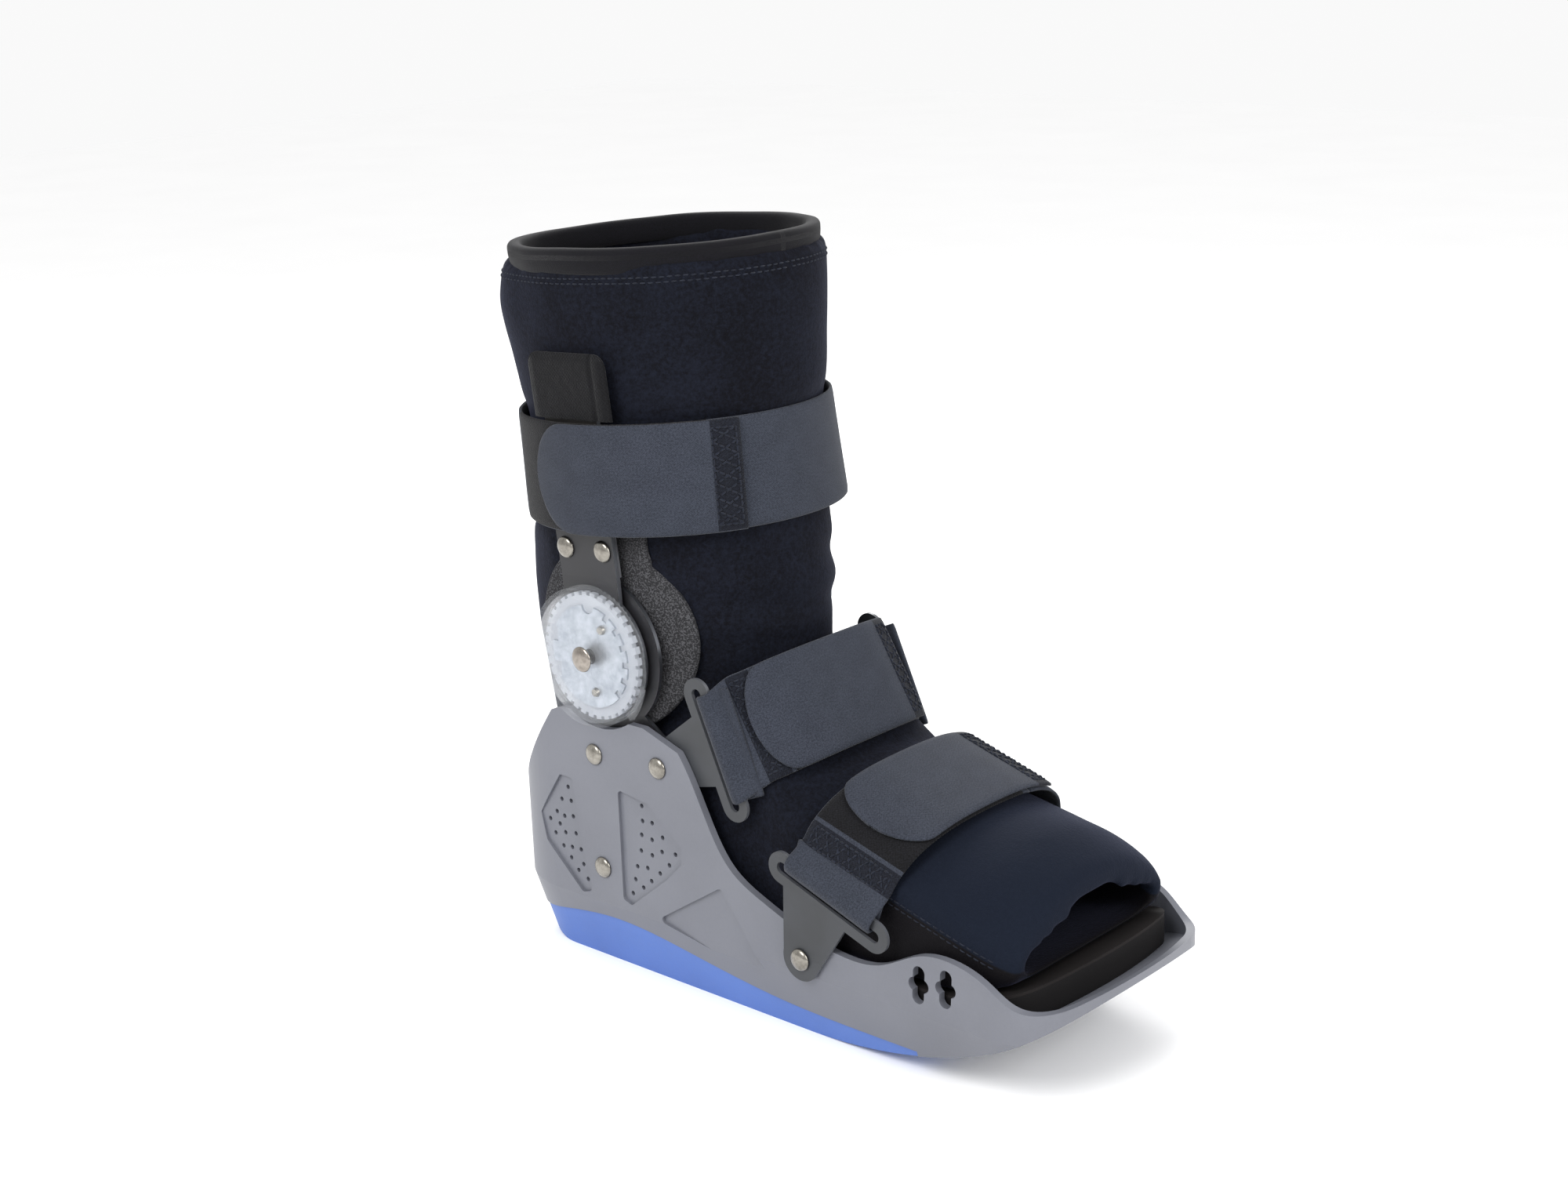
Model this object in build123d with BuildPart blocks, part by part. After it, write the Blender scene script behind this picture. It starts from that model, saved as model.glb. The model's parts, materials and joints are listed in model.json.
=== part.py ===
from build123d import *

import os
from math import atan2, cos, degrees, hypot, radians, sin, sqrt, tan

# A low ankle walker: a rigid foot shell and a padded boot, joined to a leg section by a hinge
# with adjustable stops on each side of the ankle, and closed by three straps.
#
# Frame: the origin is on the ground under the ankle axis, +X points to the toes and +Z is up.
# The wearer's right side is -Y. Sizes are in millimetres and angles in degrees.
# Pairs are made for the right side and mirrored to the left.

os.makedirs("parts", exist_ok=True)

# ---------------------------------------------------------------- driving sizes

ANKLE_Z = 131.0  # height of the ankle axis
LEAN = 3.6  # how far the leg section leans back from upright
HEEL_X = -63.0  # back of the foot shell
TOE_X = 214.0  # tip of the foot shell
SHELL_HALF = 54.0  # half the width over the foot shell
CUFF_TOP = 156.0  # top of the cuff over the ankle axis, along the leg

GAP = 0.3  # clearance between neighbours on different bodies
FIT = 0.1  # clearance of a rivet in its hole
FAR = 500.0  # larger than the whole boot, for cutting

# foot shell
SHELL_WALL = 3.0
HEEL_R = 33.0
TOE_R = 24.0
TOE_BOW = 9.0
SKIRT_Z = 28.0  # under this height the sides draw in
SKIRT_IN = 8.0
BED_Z = 25.0  # top of the shell's floor
BED_CURVE = 64.0  # length of the floor that curves up to the toe
TOE_SPRING = 39.0  # height of the tip's underside
LIP_T = 2.5
BACK_TOP = 66.0  # top of the shell behind the heel
VENT_R = 0.95
PANEL_DEPTH = 1.3
PANEL_CORNER = 1.6
PLUS_TALL = 14.5
PLUS_ACROSS = 9.0
PLUS_W = 5.2

# sole and insole
FLAT_BACK = -30.0
ROCKER_X = 95.0
HEEL_ROLL_R = 60.0
SOLE_INSET = 0.6
SOLE_END = TOE_X - 64.0
TREAD_DEPTH = 2.0
TREAD_PITCH = 11.0
TREAD_W = 4.0
INSOLE_T = 10.0
COVER_T = 1.0
INSOLE_TOE_GAP = 12.0

# hinge
DIAL_R = 27.4
DIAL_T = 6.9
DIAL_GAP = 2.1
COVER_WALL = 1.7
LOWER_R = 30.0
LOWER_T = 1.5
LOWER_END_R = 7.0
ARM_T = 1.8
BAR_T = 1.8
ARM_HALF = 15.0
BAR_HALF = 14.0
ARM_TOP = 52.0
BEND_Z = 30.0
FLARE = 3.0
BAR_TOP = 116.0
PIVOT_R = 3.0
PIVOT_HEAD_R = 5.0
BUSH_R = 4.8
FLANGE_R = 8.0
PAD_R = 37.0
PAD_T = 2.0
PAD_CENTRE = (3.0, 6.0)
PAD_NECK = 23.0
PAD_TOP = 47.0

# rivets
RIVET_R = 2.4
HEAD_R = 4.3
HEAD_T = 1.9
TAIL_R = 3.6
TAIL_T = 0.9
UPRIGHT_RIVET_X = 9.9
UPRIGHT_RIVET_Z = 41.5

# strap anchors and webbing
ANCHOR_T = 1.4
ANCHOR_BAR = 4.0
SLOT_W = 4.5
WEB_W = 42.0
WEB_T = 1.6
LOOP_GAP = 0.25

# boot liner
LINER_T = 6.0
LINER_FLOOR = 4.0
CUFF_START = 41.0  # the leg's part of the liner starts here over the axis
SPLIT_GAP = 0.5
BINDING = 7.0

# calf strap
CALF_Z = 48.5  # lower edge of the calf strap over the ankle axis
CALF_CENTRE = 1.4
CALF_LONG = 61.3  # inside half length of the strap's oval

# ---------------------------------------------------------------- derived places

# Layers of each side, as distances from the middle plane, from the outside in.
SHELL_IN = SHELL_HALF - SHELL_WALL
ANCHOR_OUT = SHELL_IN - GAP
ANCHOR_IN = ANCHOR_OUT - ANCHOR_T
LOWER_OUT = ANCHOR_IN - 0.1
LOWER_IN = LOWER_OUT - LOWER_T
PAD_OUT = LOWER_IN - GAP
PAD_IN = PAD_OUT - PAD_T
LINER_HALF = PAD_IN - GAP
BAR_IN = LOWER_OUT + GAP
ARM_IN = BAR_IN + BAR_T
ARM_OUT = ARM_IN + ARM_T
DIAL_IN = ARM_OUT + GAP
DIAL_OUT = DIAL_IN + DIAL_T
FRONT_IN = SHELL_HALF + GAP
FRONT_OUT = FRONT_IN + ANCHOR_T

ROCKER_REACH = TOE_X - ROCKER_X
ROCKER_R = (ROCKER_REACH**2 + TOE_SPRING**2) / (2 * TOE_SPRING)
BED_RISE = TOE_SPRING + LIP_T - BED_Z
BED_R = (BED_CURVE**2 + BED_RISE**2) / (2 * BED_RISE)

# Rivets of the shell's side, as (x, z).
REAR_RIVET = (-3.3, ANKLE_Z - 41.0)
ANCHOR_RIVET = (31.0, ANKLE_Z - 39.0)
LOW_RIVET = (-1.8, BED_Z + INSOLE_T + COVER_T + LOWER_END_R + GAP)
FRONT_RIVET = (TOE_X - 112.0, 34.5)

COS = cos(radians(LEAN))
SIN = sin(radians(LEAN))
AXIS_POINT = (0, 0, ANKLE_Z)
LEG = Plane(origin=AXIS_POINT, x_dir=(COS, 0, SIN), z_dir=(-SIN, 0, COS))
LEG_SIDE = Plane(origin=AXIS_POINT, x_dir=(COS, 0, SIN), z_dir=(0, -1, 0))
LEG_BACK = Plane(origin=AXIS_POINT, x_dir=(0, -1, 0), z_dir=(-COS, 0, -SIN))
SIDE = Plane.XZ


# ---------------------------------------------------------------- helpers


def write(part, name):
    """Label one finished piece and write its file."""
    part.label = name
    export_step(part, f"parts/{name}.step")


def write_pair(part, name):
    """Write a piece of the right side and its mirror image."""
    write(part, f"{name}_right")
    write(mirror(part, about=Plane.XZ), f"{name}_left")


def flare(height):
    """How far the upright has moved out at a height over the ankle axis."""
    return max(height - BEND_Z, 0) * tan(radians(FLARE))


def plan_outline(inset, toe_inset):
    """The foot from above: straight sides, a rounded heel and a slightly bowed toe."""
    half = SHELL_HALF - inset
    toe = TOE_X - toe_inset
    heel = HEEL_X + inset
    with BuildSketch() as outline:
        with BuildLine():
            Polyline((toe - TOE_BOW, -half), (heel, -half), (heel, half), (toe - TOE_BOW, half))
            ThreePointArc((toe - TOE_BOW, half), (toe, 0), (toe - TOE_BOW, -half))
        make_face()
        fillet(outline.vertices().sort_by(Axis.X)[:2], HEEL_R - inset)
        fillet(outline.vertices().sort_by(Axis.X)[-2:], TOE_R - inset)
    return outline.sketch


def foot_block(inset, toe_inset, top):
    """A block of the foot's plan, with the sides drawn in under the skirt line."""
    lower = plan_outline(inset + SKIRT_IN, toe_inset + SKIRT_IN)
    upper = plan_outline(inset, toe_inset)
    with BuildPart() as block:
        with BuildSketch(Plane.XY):
            add(lower)
        with BuildSketch(Plane.XY.offset(SKIRT_Z)):
            add(upper)
        loft()
        with BuildSketch(Plane.XY.offset(SKIRT_Z)):
            add(upper)
        extrude(amount=top - SKIRT_Z)
    return block.part


def over_bed(lift):
    """All the room over the foot bed, raised by lift. It curves up towards the toe."""
    with BuildPart() as room:
        with BuildSketch(SIDE):
            with BuildLine():
                flat = Line((-FAR, BED_Z + lift), (TOE_X - BED_CURVE, BED_Z + lift))
                rise = JernArc(flat @ 1, (1, 0), BED_R - lift, 45)
                end = rise @ 1
                Polyline(end, (end.X, FAR), (-FAR, FAR), flat @ 0)
            make_face()
        extrude(amount=FAR, both=True)
    return room.part


def over_ground():
    """All the room over the walking surface: flat, with a rolled heel and a rocker."""
    with BuildPart() as room:
        with BuildSketch(SIDE):
            with BuildLine():
                flat = Line((FLAT_BACK, 0), (ROCKER_X, 0))
                rocker = JernArc(flat @ 1, (1, 0), ROCKER_R, 45)
                roll = JernArc(flat @ 0, (-1, 0), HEEL_ROLL_R, -50)
                front = rocker @ 1
                back = roll @ 1
                Polyline(front, (front.X, FAR), (back.X, FAR), back)
            make_face()
        extrude(amount=FAR, both=True)
    return room.part


def rocker_height(x):
    """Height of the walking surface at x, ahead of the flat."""
    return ROCKER_R - sqrt(ROCKER_R**2 - (x - ROCKER_X) ** 2)


# ---------------------------------------------------------------- foot shell and sole

# The seam between shell and sole rises under the ankle and runs out at the ball of the foot.
with BuildPart() as sole_zone:
    with BuildSketch(SIDE):
        with BuildLine():
            seam = Spline(
                (HEEL_X - 9, 11),
                (-36, 16.5),
                (3, 22),
                (45, 17),
                (TOE_X - 129, 11.2),
                (TOE_X - 89, 9.8),
                (SOLE_END, rocker_height(SOLE_END) + 2.2),
            )
            Polyline(seam @ 1, (SOLE_END, -FAR), (HEEL_X - 9, -FAR), seam @ 0)
        make_face()
    extrude(amount=FAR, both=True)

ground_room = over_ground()
bed_room = over_bed(0)

with BuildPart() as side_zone:
    with BuildSketch(SIDE):
        with BuildLine():
            ankle_top = ANKLE_Z - 29.0
            back = Polyline(
                (HEEL_X - 9, -5),
                (HEEL_X - 9, BACK_TOP),
                (HEEL_X + 10, BACK_TOP + 1),
                (HEEL_X + 22, ANKLE_Z - 48),
                (-26.5, ankle_top + 1.5),
                (-20, ankle_top + 4),
                (24, ankle_top + 4.5),
                (42, ankle_top - 1.5),
            )
            front = Spline(
                back @ 1,
                (48.5, ANKLE_Z - 41),
                (56, ANKLE_Z - 56),
                (67, ANKLE_Z - 71.5),
                (TOE_X - 131, 51),
                (TOE_X - 95, 40.5),
                (TOE_X - 76, 42),
                (TOE_X - 57, 51),
                (TOE_X - 43, 52),
                (TOE_X - 27, 46.5),
                (TOE_X - 17, 40.5),
                (TOE_X - 7, 40),
                (TOE_X + 3, 43.5),
            )
            Polyline(front @ 1, (TOE_X + 3, -5), back @ 0)
        make_face()
        with Locations((0, ANKLE_Z)):
            Circle(DIAL_R + DIAL_GAP, mode=Mode.SUBTRACT)
    extrude(amount=FAR, both=True)

shell_block = foot_block(0, 0, ANKLE_Z)
shell_cavity = foot_block(SHELL_WALL, SHELL_WALL, ANKLE_Z + 5)

with BuildPart() as cavity:
    add(shell_cavity)
    add(bed_room, mode=Mode.INTERSECT)

# Places on the side of the shell, as (x, z): the vents, and the panels that they lie in.
REAR_VENTS = [
    (-21, 72),
    (-25, 66),
    (-19.7, 66.4),
    (-28.3, 60),
    (-24, 59),
    (-19, 60),
    (-32.4, 56),
    (-27, 55),
    (-29.8, 50.5),
    (-24, 52),
    (-18, 53),
    (-25.6, 46),
    (-20.6, 46.6),
    (-15.6, 46.8),
    (-21.5, 41.9),
    (-14.6, 40.8),
    (-17.7, 37.5),
    (-12.5, 35),
]
FRONT_VENTS = [
    (20, 73.8),
    (20, 67.6),
    (25.2, 68),
    (19.2, 61.7),
    (24.7, 61),
    (30.5, 63.3),
    (18.5, 55),
    (24.4, 54.5),
    (29.8, 57.3),
    (37, 58),
    (16, 47.8),
    (21.5, 48.5),
    (33.4, 52.7),
    (28.2, 48),
    (14.5, 42),
    (23.3, 43.5),
    (18.7, 39.6),
    (12.7, 35.7),
]
REAR_PANEL = [(-17, 77), (-24, 77), (-37, 58), (-34, 47), (-14.5, 29.5), (-9.5, 31), (-9.5, 37), (-13.5, 50)]
FRONT_PANEL = [(8.5, 78), (24, 76), (41.5, 62), (41, 55), (33, 47), (13, 31), (8.5, 32.5)]
LOW_PANEL = [(27, 29), (61, 51), (71, 38), (84, 19.5), (56, 23)]
PLUS_SLOTS = [(TOE_X - 58.5, 39.5), (TOE_X - 46.5, 41.3)]

with BuildPart() as foot_shell:
    add(shell_block)
    add(side_zone.part, mode=Mode.INTERSECT)
    add(ground_room, mode=Mode.INTERSECT)
    add(sole_zone.part, mode=Mode.SUBTRACT)
    add(cavity.part, mode=Mode.SUBTRACT)
    # shallow panels on the outside of each wall
    for outward in (1, -1):
        with BuildSketch(Plane.XZ.offset(outward * (SHELL_HALF - PANEL_DEPTH))) as panels:
            for outline in (REAR_PANEL, FRONT_PANEL, LOW_PANEL):
                with BuildLine():
                    Polyline(*outline, close=True)
                make_face()
            fillet(panels.vertices(), PANEL_CORNER)
        extrude(amount=outward * (PANEL_DEPTH + 1), mode=Mode.SUBTRACT)
    # rivet holes, vents and the two cross-shaped slots go through both walls
    with BuildSketch(SIDE):
        with Locations(REAR_RIVET, ANCHOR_RIVET, LOW_RIVET, FRONT_RIVET):
            Circle(RIVET_R + FIT)
        with Locations(*REAR_VENTS, *FRONT_VENTS):
            Circle(VENT_R)
        with Locations(*PLUS_SLOTS):
            SlotOverall(PLUS_TALL, PLUS_W, rotation=87)
            SlotOverall(PLUS_ACROSS, PLUS_W)
    extrude(amount=SHELL_HALF + 2, both=True, mode=Mode.SUBTRACT)
write(foot_shell.part, "foot_shell")

# The sole fills the room under the seam. Its underside has rows of tread pockets.
sole_block = foot_block(SOLE_INSET, SOLE_INSET, ANKLE_Z)
TREAD_ROWS = int((ROCKER_X - FLAT_BACK - 2 * TREAD_W) / TREAD_PITCH)
with BuildPart() as outsole:
    add(sole_block)
    add(ground_room, mode=Mode.INTERSECT)
    add(sole_zone.part, mode=Mode.INTERSECT)
    with BuildSketch(Plane.XY):
        with Locations(((FLAT_BACK + ROCKER_X) / 2, 0)):
            with GridLocations(TREAD_PITCH, SHELL_HALF * 0.72, TREAD_ROWS, 2):
                SlotOverall(SHELL_HALF * 0.62, TREAD_W, rotation=90)
    extrude(amount=TREAD_DEPTH, mode=Mode.SUBTRACT)
write(outsole.part, "outsole")

# The foam insole lies on the floor of the shell, under a thin cover.
insole_block = foot_block(SHELL_WALL + TAIL_T + GAP, INSOLE_TOE_GAP, ANKLE_Z)
over_insole = over_bed(INSOLE_T)
over_cover = over_bed(INSOLE_T + COVER_T)
low_room = Pos(0, 0, BACK_TOP / 2) * Box(FAR, FAR, BACK_TOP)
with BuildPart() as insole:
    add(insole_block)
    add(low_room, mode=Mode.INTERSECT)
    add(bed_room, mode=Mode.INTERSECT)
    add(over_insole, mode=Mode.SUBTRACT)
write(insole.part, "insole")

with BuildPart() as insole_cover:
    add(insole_block)
    add(low_room, mode=Mode.INTERSECT)
    add(over_insole, mode=Mode.INTERSECT)
    add(over_cover, mode=Mode.SUBTRACT)
write(insole_cover.part, "insole_cover")


# ---------------------------------------------------------------- hinge

# The lower hinge plate stands inside the shell's wall on three rivets.
with BuildPart() as lower_plate:
    with BuildSketch(SIDE.offset(LOWER_IN)):
        with Locations((0, ANKLE_Z)):
            Circle(LOWER_R)
        with BuildLine():
            Polyline(
                (-14, ANKLE_Z - 20),
                (-12, REAR_RIVET[1]),
                (LOW_RIVET[0] - LOWER_END_R, LOW_RIVET[1]),
                (LOW_RIVET[0] + LOWER_END_R, LOW_RIVET[1]),
                (ANCHOR_RIVET[0] + 8, ANCHOR_RIVET[1] - 4),
                (ANCHOR_RIVET[0] + 7, ANCHOR_RIVET[1] + 5),
                (18, ANKLE_Z - 20),
                close=True,
            )
        make_face()
        with Locations(LOW_RIVET):
            Circle(LOWER_END_R)
        with Locations((0, ANKLE_Z)):
            Circle(PIVOT_R + FIT, mode=Mode.SUBTRACT)
        with Locations(REAR_RIVET, ANCHOR_RIVET, LOW_RIVET):
            Circle(RIVET_R + FIT, mode=Mode.SUBTRACT)
    extrude(amount=LOWER_T)
write_pair(lower_plate.part, "hinge_lower_plate")


def rivets(places, tail_in, head_in):
    """Domed rivets: a tail inside, a shank, and a head outside."""
    with BuildPart() as group:
        with BuildSketch(SIDE.offset(tail_in - TAIL_T)):
            with Locations(*places):
                Circle(TAIL_R)
        extrude(amount=TAIL_T)
        with BuildSketch(SIDE.offset(tail_in)):
            with Locations(*places):
                Circle(RIVET_R)
        extrude(amount=head_in - tail_in)
        with BuildSketch(SIDE.offset(head_in)):
            with Locations(*places):
                Circle(HEAD_R)
        extrude(amount=HEAD_T, taper=35)
    return group.part


shell_rivets = rivets([REAR_RIVET, ANCHOR_RIVET, LOW_RIVET], LOWER_IN, SHELL_HALF)
write_pair(shell_rivets, "shell_rivets")
front_rivet = rivets([FRONT_RIVET], SHELL_IN, FRONT_OUT + GAP)
write_pair(front_rivet, "front_anchor_rivet")

# The hinge arm turns on the ankle axis and bends out to follow the calf.
with BuildPart() as hinge_arm:
    with BuildSketch(LEG_SIDE.offset(LOWER_IN)):
        Circle(DIAL_R - 1.4)
        with Locations((0.5, ARM_TOP / 2)):
            Rectangle(2 * ARM_HALF, ARM_TOP)
        Circle(BUSH_R + FIT, mode=Mode.SUBTRACT)
        with Locations((UPRIGHT_RIVET_X, UPRIGHT_RIVET_Z), (-UPRIGHT_RIVET_X, UPRIGHT_RIVET_Z)):
            Circle(RIVET_R + 4 * FIT, mode=Mode.SUBTRACT)
    extrude(amount=FAR / 10)
    with BuildSketch(LEG_BACK):
        with BuildLine():
            Polyline(
                (ARM_IN, -2 * DIAL_R),
                (ARM_IN, BEND_Z),
                (ARM_IN + flare(3 * ARM_TOP), 3 * ARM_TOP),
                (ARM_OUT + flare(3 * ARM_TOP), 3 * ARM_TOP),
                (ARM_OUT, BEND_Z),
                (ARM_OUT, -2 * DIAL_R),
                close=True,
            )
        make_face()
    extrude(amount=2 * DIAL_R, both=True, mode=Mode.INTERSECT)
write_pair(hinge_arm.part, "hinge_arm")

# Everything over the bend lies in a plane that leans outwards.
TILT = Plane(
    origin=LEG_SIDE.offset(BAR_IN).from_local_coords((0, BEND_Z, 0)),
    x_dir=(COS, 0, SIN),
    z_dir=LEG_SIDE.z_dir * cos(radians(FLARE)) - LEG.z_dir * sin(radians(FLARE)),
)

with BuildPart() as upright:
    with BuildSketch(TILT):
        with Locations((0.5, (BAR_TOP - BEND_Z + 1) / 2)):
            Rectangle(2 * BAR_HALF, BAR_TOP - BEND_Z - 1)
        with Locations((UPRIGHT_RIVET_X, UPRIGHT_RIVET_Z - BEND_Z), (-UPRIGHT_RIVET_X, UPRIGHT_RIVET_Z - BEND_Z)):
            Circle(RIVET_R + FIT, mode=Mode.SUBTRACT)
    extrude(amount=BAR_T * cos(radians(FLARE)))
write_pair(upright.part, "upright")

with BuildPart() as upright_rivets:
    spots = [(x, UPRIGHT_RIVET_Z - BEND_Z) for x in (UPRIGHT_RIVET_X, -UPRIGHT_RIVET_X)]
    stack = (ARM_OUT - BAR_IN) * cos(radians(FLARE))
    with BuildSketch(TILT.offset(-TAIL_T)):
        with Locations(*spots):
            Circle(TAIL_R)
    extrude(amount=TAIL_T)
    with BuildSketch(TILT):
        with Locations(*spots):
            Circle(RIVET_R)
    extrude(amount=stack)
    with BuildSketch(TILT.offset(stack)):
        with Locations(*spots):
            Circle(HEAD_R)
    extrude(amount=HEAD_T, taper=35)
write_pair(upright_rivets.part, "upright_rivets")

# A nylon bush in the arm turns on the pivot rivet and spaces the arm off the lower plate.
with BuildPart() as bush:
    with BuildSketch(LEG_SIDE.offset(BAR_IN)):
        Circle(FLANGE_R)
    extrude(amount=ARM_IN - BAR_IN)
    with BuildSketch(LEG_SIDE.offset(ARM_IN)):
        Circle(BUSH_R)
    extrude(amount=ARM_T)
    with BuildSketch(LEG_SIDE.offset(BAR_IN)):
        Circle(PIVOT_R + FIT)
    extrude(amount=ARM_OUT - BAR_IN, mode=Mode.SUBTRACT)
write_pair(bush.part, "hinge_bush")

AXIS_SIDE = Plane(origin=AXIS_POINT, x_dir=(1, 0, 0), z_dir=(0, -1, 0))
RING_T = 2.2
FACE_T = 1.0
RING_R = DIAL_R - COVER_WALL - 2 * GAP
FACE_R = RING_R - 5.0
PIN_R = 1.9
PIN_SPOTS = [(14 * cos(radians(a)), 14 * sin(radians(a))) for a in (-79, 58)]

# The toothed index ring that the stops lock into.
TEETH = 36
with BuildPart() as index_ring:
    with BuildSketch(AXIS_SIDE.offset(DIAL_IN)):
        Circle(RING_R)
        Circle(PIVOT_R + FIT, mode=Mode.SUBTRACT)
        with PolarLocations(RING_R, TEETH):
            Rectangle(2.6, 1.6, mode=Mode.SUBTRACT)
    extrude(amount=RING_T)
write_pair(index_ring.part, "index_ring")

# The pale cam plate with its stepped edge and the notch at its top.
with BuildPart() as dial_face:
    with BuildSketch(AXIS_SIDE.offset(DIAL_IN + RING_T)):
        Circle(FACE_R)
        with Locations((0, FACE_R)):
            Circle(3.2, mode=Mode.SUBTRACT)
        with PolarLocations(FACE_R, 6, start_angle=-40, angular_range=120):
            Rectangle(5.0, 2.4, mode=Mode.SUBTRACT)
        with Locations((-FACE_R, 6), (-FACE_R + 1, -8)):
            Rectangle(6, 6, mode=Mode.SUBTRACT)
        Circle(PIVOT_R + FIT, mode=Mode.SUBTRACT)
        with Locations(*PIN_SPOTS):
            Circle(PIN_R - 0.6, mode=Mode.SUBTRACT)
    extrude(amount=FACE_T)
write_pair(dial_face.part, "dial_face")

with BuildPart() as stop_pins:
    with BuildSketch(AXIS_SIDE.offset(DIAL_IN + RING_T)):
        with Locations(*PIN_SPOTS):
            Circle(PIN_R - 0.6 - FIT)
    extrude(amount=FACE_T)
    with BuildSketch(AXIS_SIDE.offset(DIAL_IN + RING_T + FACE_T)):
        with Locations(*PIN_SPOTS):
            Circle(PIN_R)
    extrude(amount=1.2, taper=20)
write_pair(stop_pins.part, "stop_pins")

# The clear cover is a shallow cup with a grip on its rim and a finger tab. It twists to lock.
COVER_PLATE = 1.5
TAB_REACH = 3.2
with BuildPart() as hinge_cover:
    with BuildSketch(AXIS_SIDE.offset(DIAL_IN + GAP)):
        Circle(DIAL_R)
    extrude(amount=DIAL_T - GAP)
    fillet(hinge_cover.edges().filter_by(GeomType.CIRCLE).sort_by(Axis.Y)[0], 1.2)
    with BuildSketch(AXIS_SIDE.offset(DIAL_IN + DIAL_T / 2)):
        with BuildLine():
            tip = DIAL_R + TAB_REACH
            tab = ThreePointArc(
                (tip * cos(radians(-14)), tip * sin(radians(-14))),
                (tip * cos(radians(-28)), tip * sin(radians(-28))),
                (tip * cos(radians(-42)), tip * sin(radians(-42))),
            )
            Polyline(tab @ 1, (0.7 * DIAL_R, -0.6 * DIAL_R), (0.8 * DIAL_R, -0.15 * DIAL_R), tab @ 0)
        make_face()
    extrude(amount=DIAL_T / 2 - 1.3)
    with BuildSketch(AXIS_SIDE.offset(DIAL_IN)):
        Circle(DIAL_R - COVER_WALL)
    extrude(amount=DIAL_T - COVER_PLATE, mode=Mode.SUBTRACT)
    with BuildSketch(AXIS_SIDE.offset(DIAL_IN)):
        Circle(PIVOT_R + 2 * GAP)
        with PolarLocations(DIAL_R + 0.4, 15, start_angle=2, angular_range=80):
            Circle(0.9)
    extrude(amount=DIAL_T + 1, mode=Mode.SUBTRACT)
write_pair(hinge_cover.part, "hinge_cover")

# The pivot rivet holds the whole hinge together. Its tail sits in a hole of the foam pad.
PIVOT_TAIL_T = 1.3
with BuildPart() as pivot_rivet:
    with BuildSketch(AXIS_SIDE.offset(LOWER_IN - PIVOT_TAIL_T)):
        Circle(PIVOT_HEAD_R)
    extrude(amount=PIVOT_TAIL_T)
    with BuildSketch(AXIS_SIDE.offset(LOWER_IN)):
        Circle(PIVOT_R)
    extrude(amount=DIAL_OUT + GAP - LOWER_IN)
    with BuildSketch(AXIS_SIDE.offset(DIAL_OUT + GAP)):
        Circle(PIVOT_HEAD_R)
    extrude(amount=1.6, taper=40)
write_pair(pivot_rivet.part, "pivot_rivet")

# The foam pad keeps the hinge off the ankle bone.
with BuildPart() as foam_pad:
    with BuildSketch(LEG_SIDE.offset(PAD_IN)):
        with Locations(PAD_CENTRE):
            Circle(PAD_R)
        with Locations((PAD_CENTRE[0], PAD_TOP / 2)):
            Rectangle(2 * PAD_NECK, PAD_TOP)
        Circle(PIVOT_HEAD_R + 1.5, mode=Mode.SUBTRACT)
    extrude(amount=PAD_T)
write_pair(foam_pad.part, "foam_pad")

# A fabric sleeve holds the top of the upright to the cuff, above the calf strap.
SLEEVE_T = 1.6
SLEEVE_LOW = CALF_Z + WEB_W + 1.5
SLEEVE_W = 45.0
with BuildPart() as upright_sleeve:
    with BuildSketch(TILT.offset(BAR_T + GAP)) as patch:
        with Locations((-3.5, (SLEEVE_LOW + BAR_TOP + 5) / 2 - BEND_Z)):
            RectangleRounded(SLEEVE_W, BAR_TOP + 5 - SLEEVE_LOW, 5)
    extrude(amount=SLEEVE_T)
write_pair(upright_sleeve.part, "upright_sleeve")


# ---------------------------------------------------------------- boot liner


def oval_loft(sections):
    """Straight-sided tube through ovals given as (plane, centre, half length, half width)."""
    with BuildPart() as tube:
        for plane, centre, long_half, wide_half in sections:
            with BuildSketch(plane):
                with Locations((centre, 0)):
                    Ellipse(long_half, wide_half)
        loft(ruled=True)
    return tube.part


def foot_loft(sections):
    """The foot's body through arched sections given as (x, half width, side height, top height)."""
    with BuildPart() as body:
        for x, half, side, top in sections:
            with BuildSketch(Plane(origin=(x, 0, 0), x_dir=(0, 1, 0), z_dir=(1, 0, 0))):
                with BuildLine():
                    Polyline((-half, side), (-half, 20), (half, 20), (half, side))
                    ThreePointArc((half, side), (0, top), (-half, side))
                make_face()
        loft(ruled=True)
    return body.part


def beside_upright(height):
    """Half width of the liner where the upright lies against it."""
    return BAR_IN + flare(height) - GAP


HEEL_HALF = LINER_HALF + 0.8
CUFF_EDGE = CUFF_TOP - BINDING
STRAP_TOP = CALF_Z + WEB_W
FOREFOOT_HALF = SHELL_IN - 2.7

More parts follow.
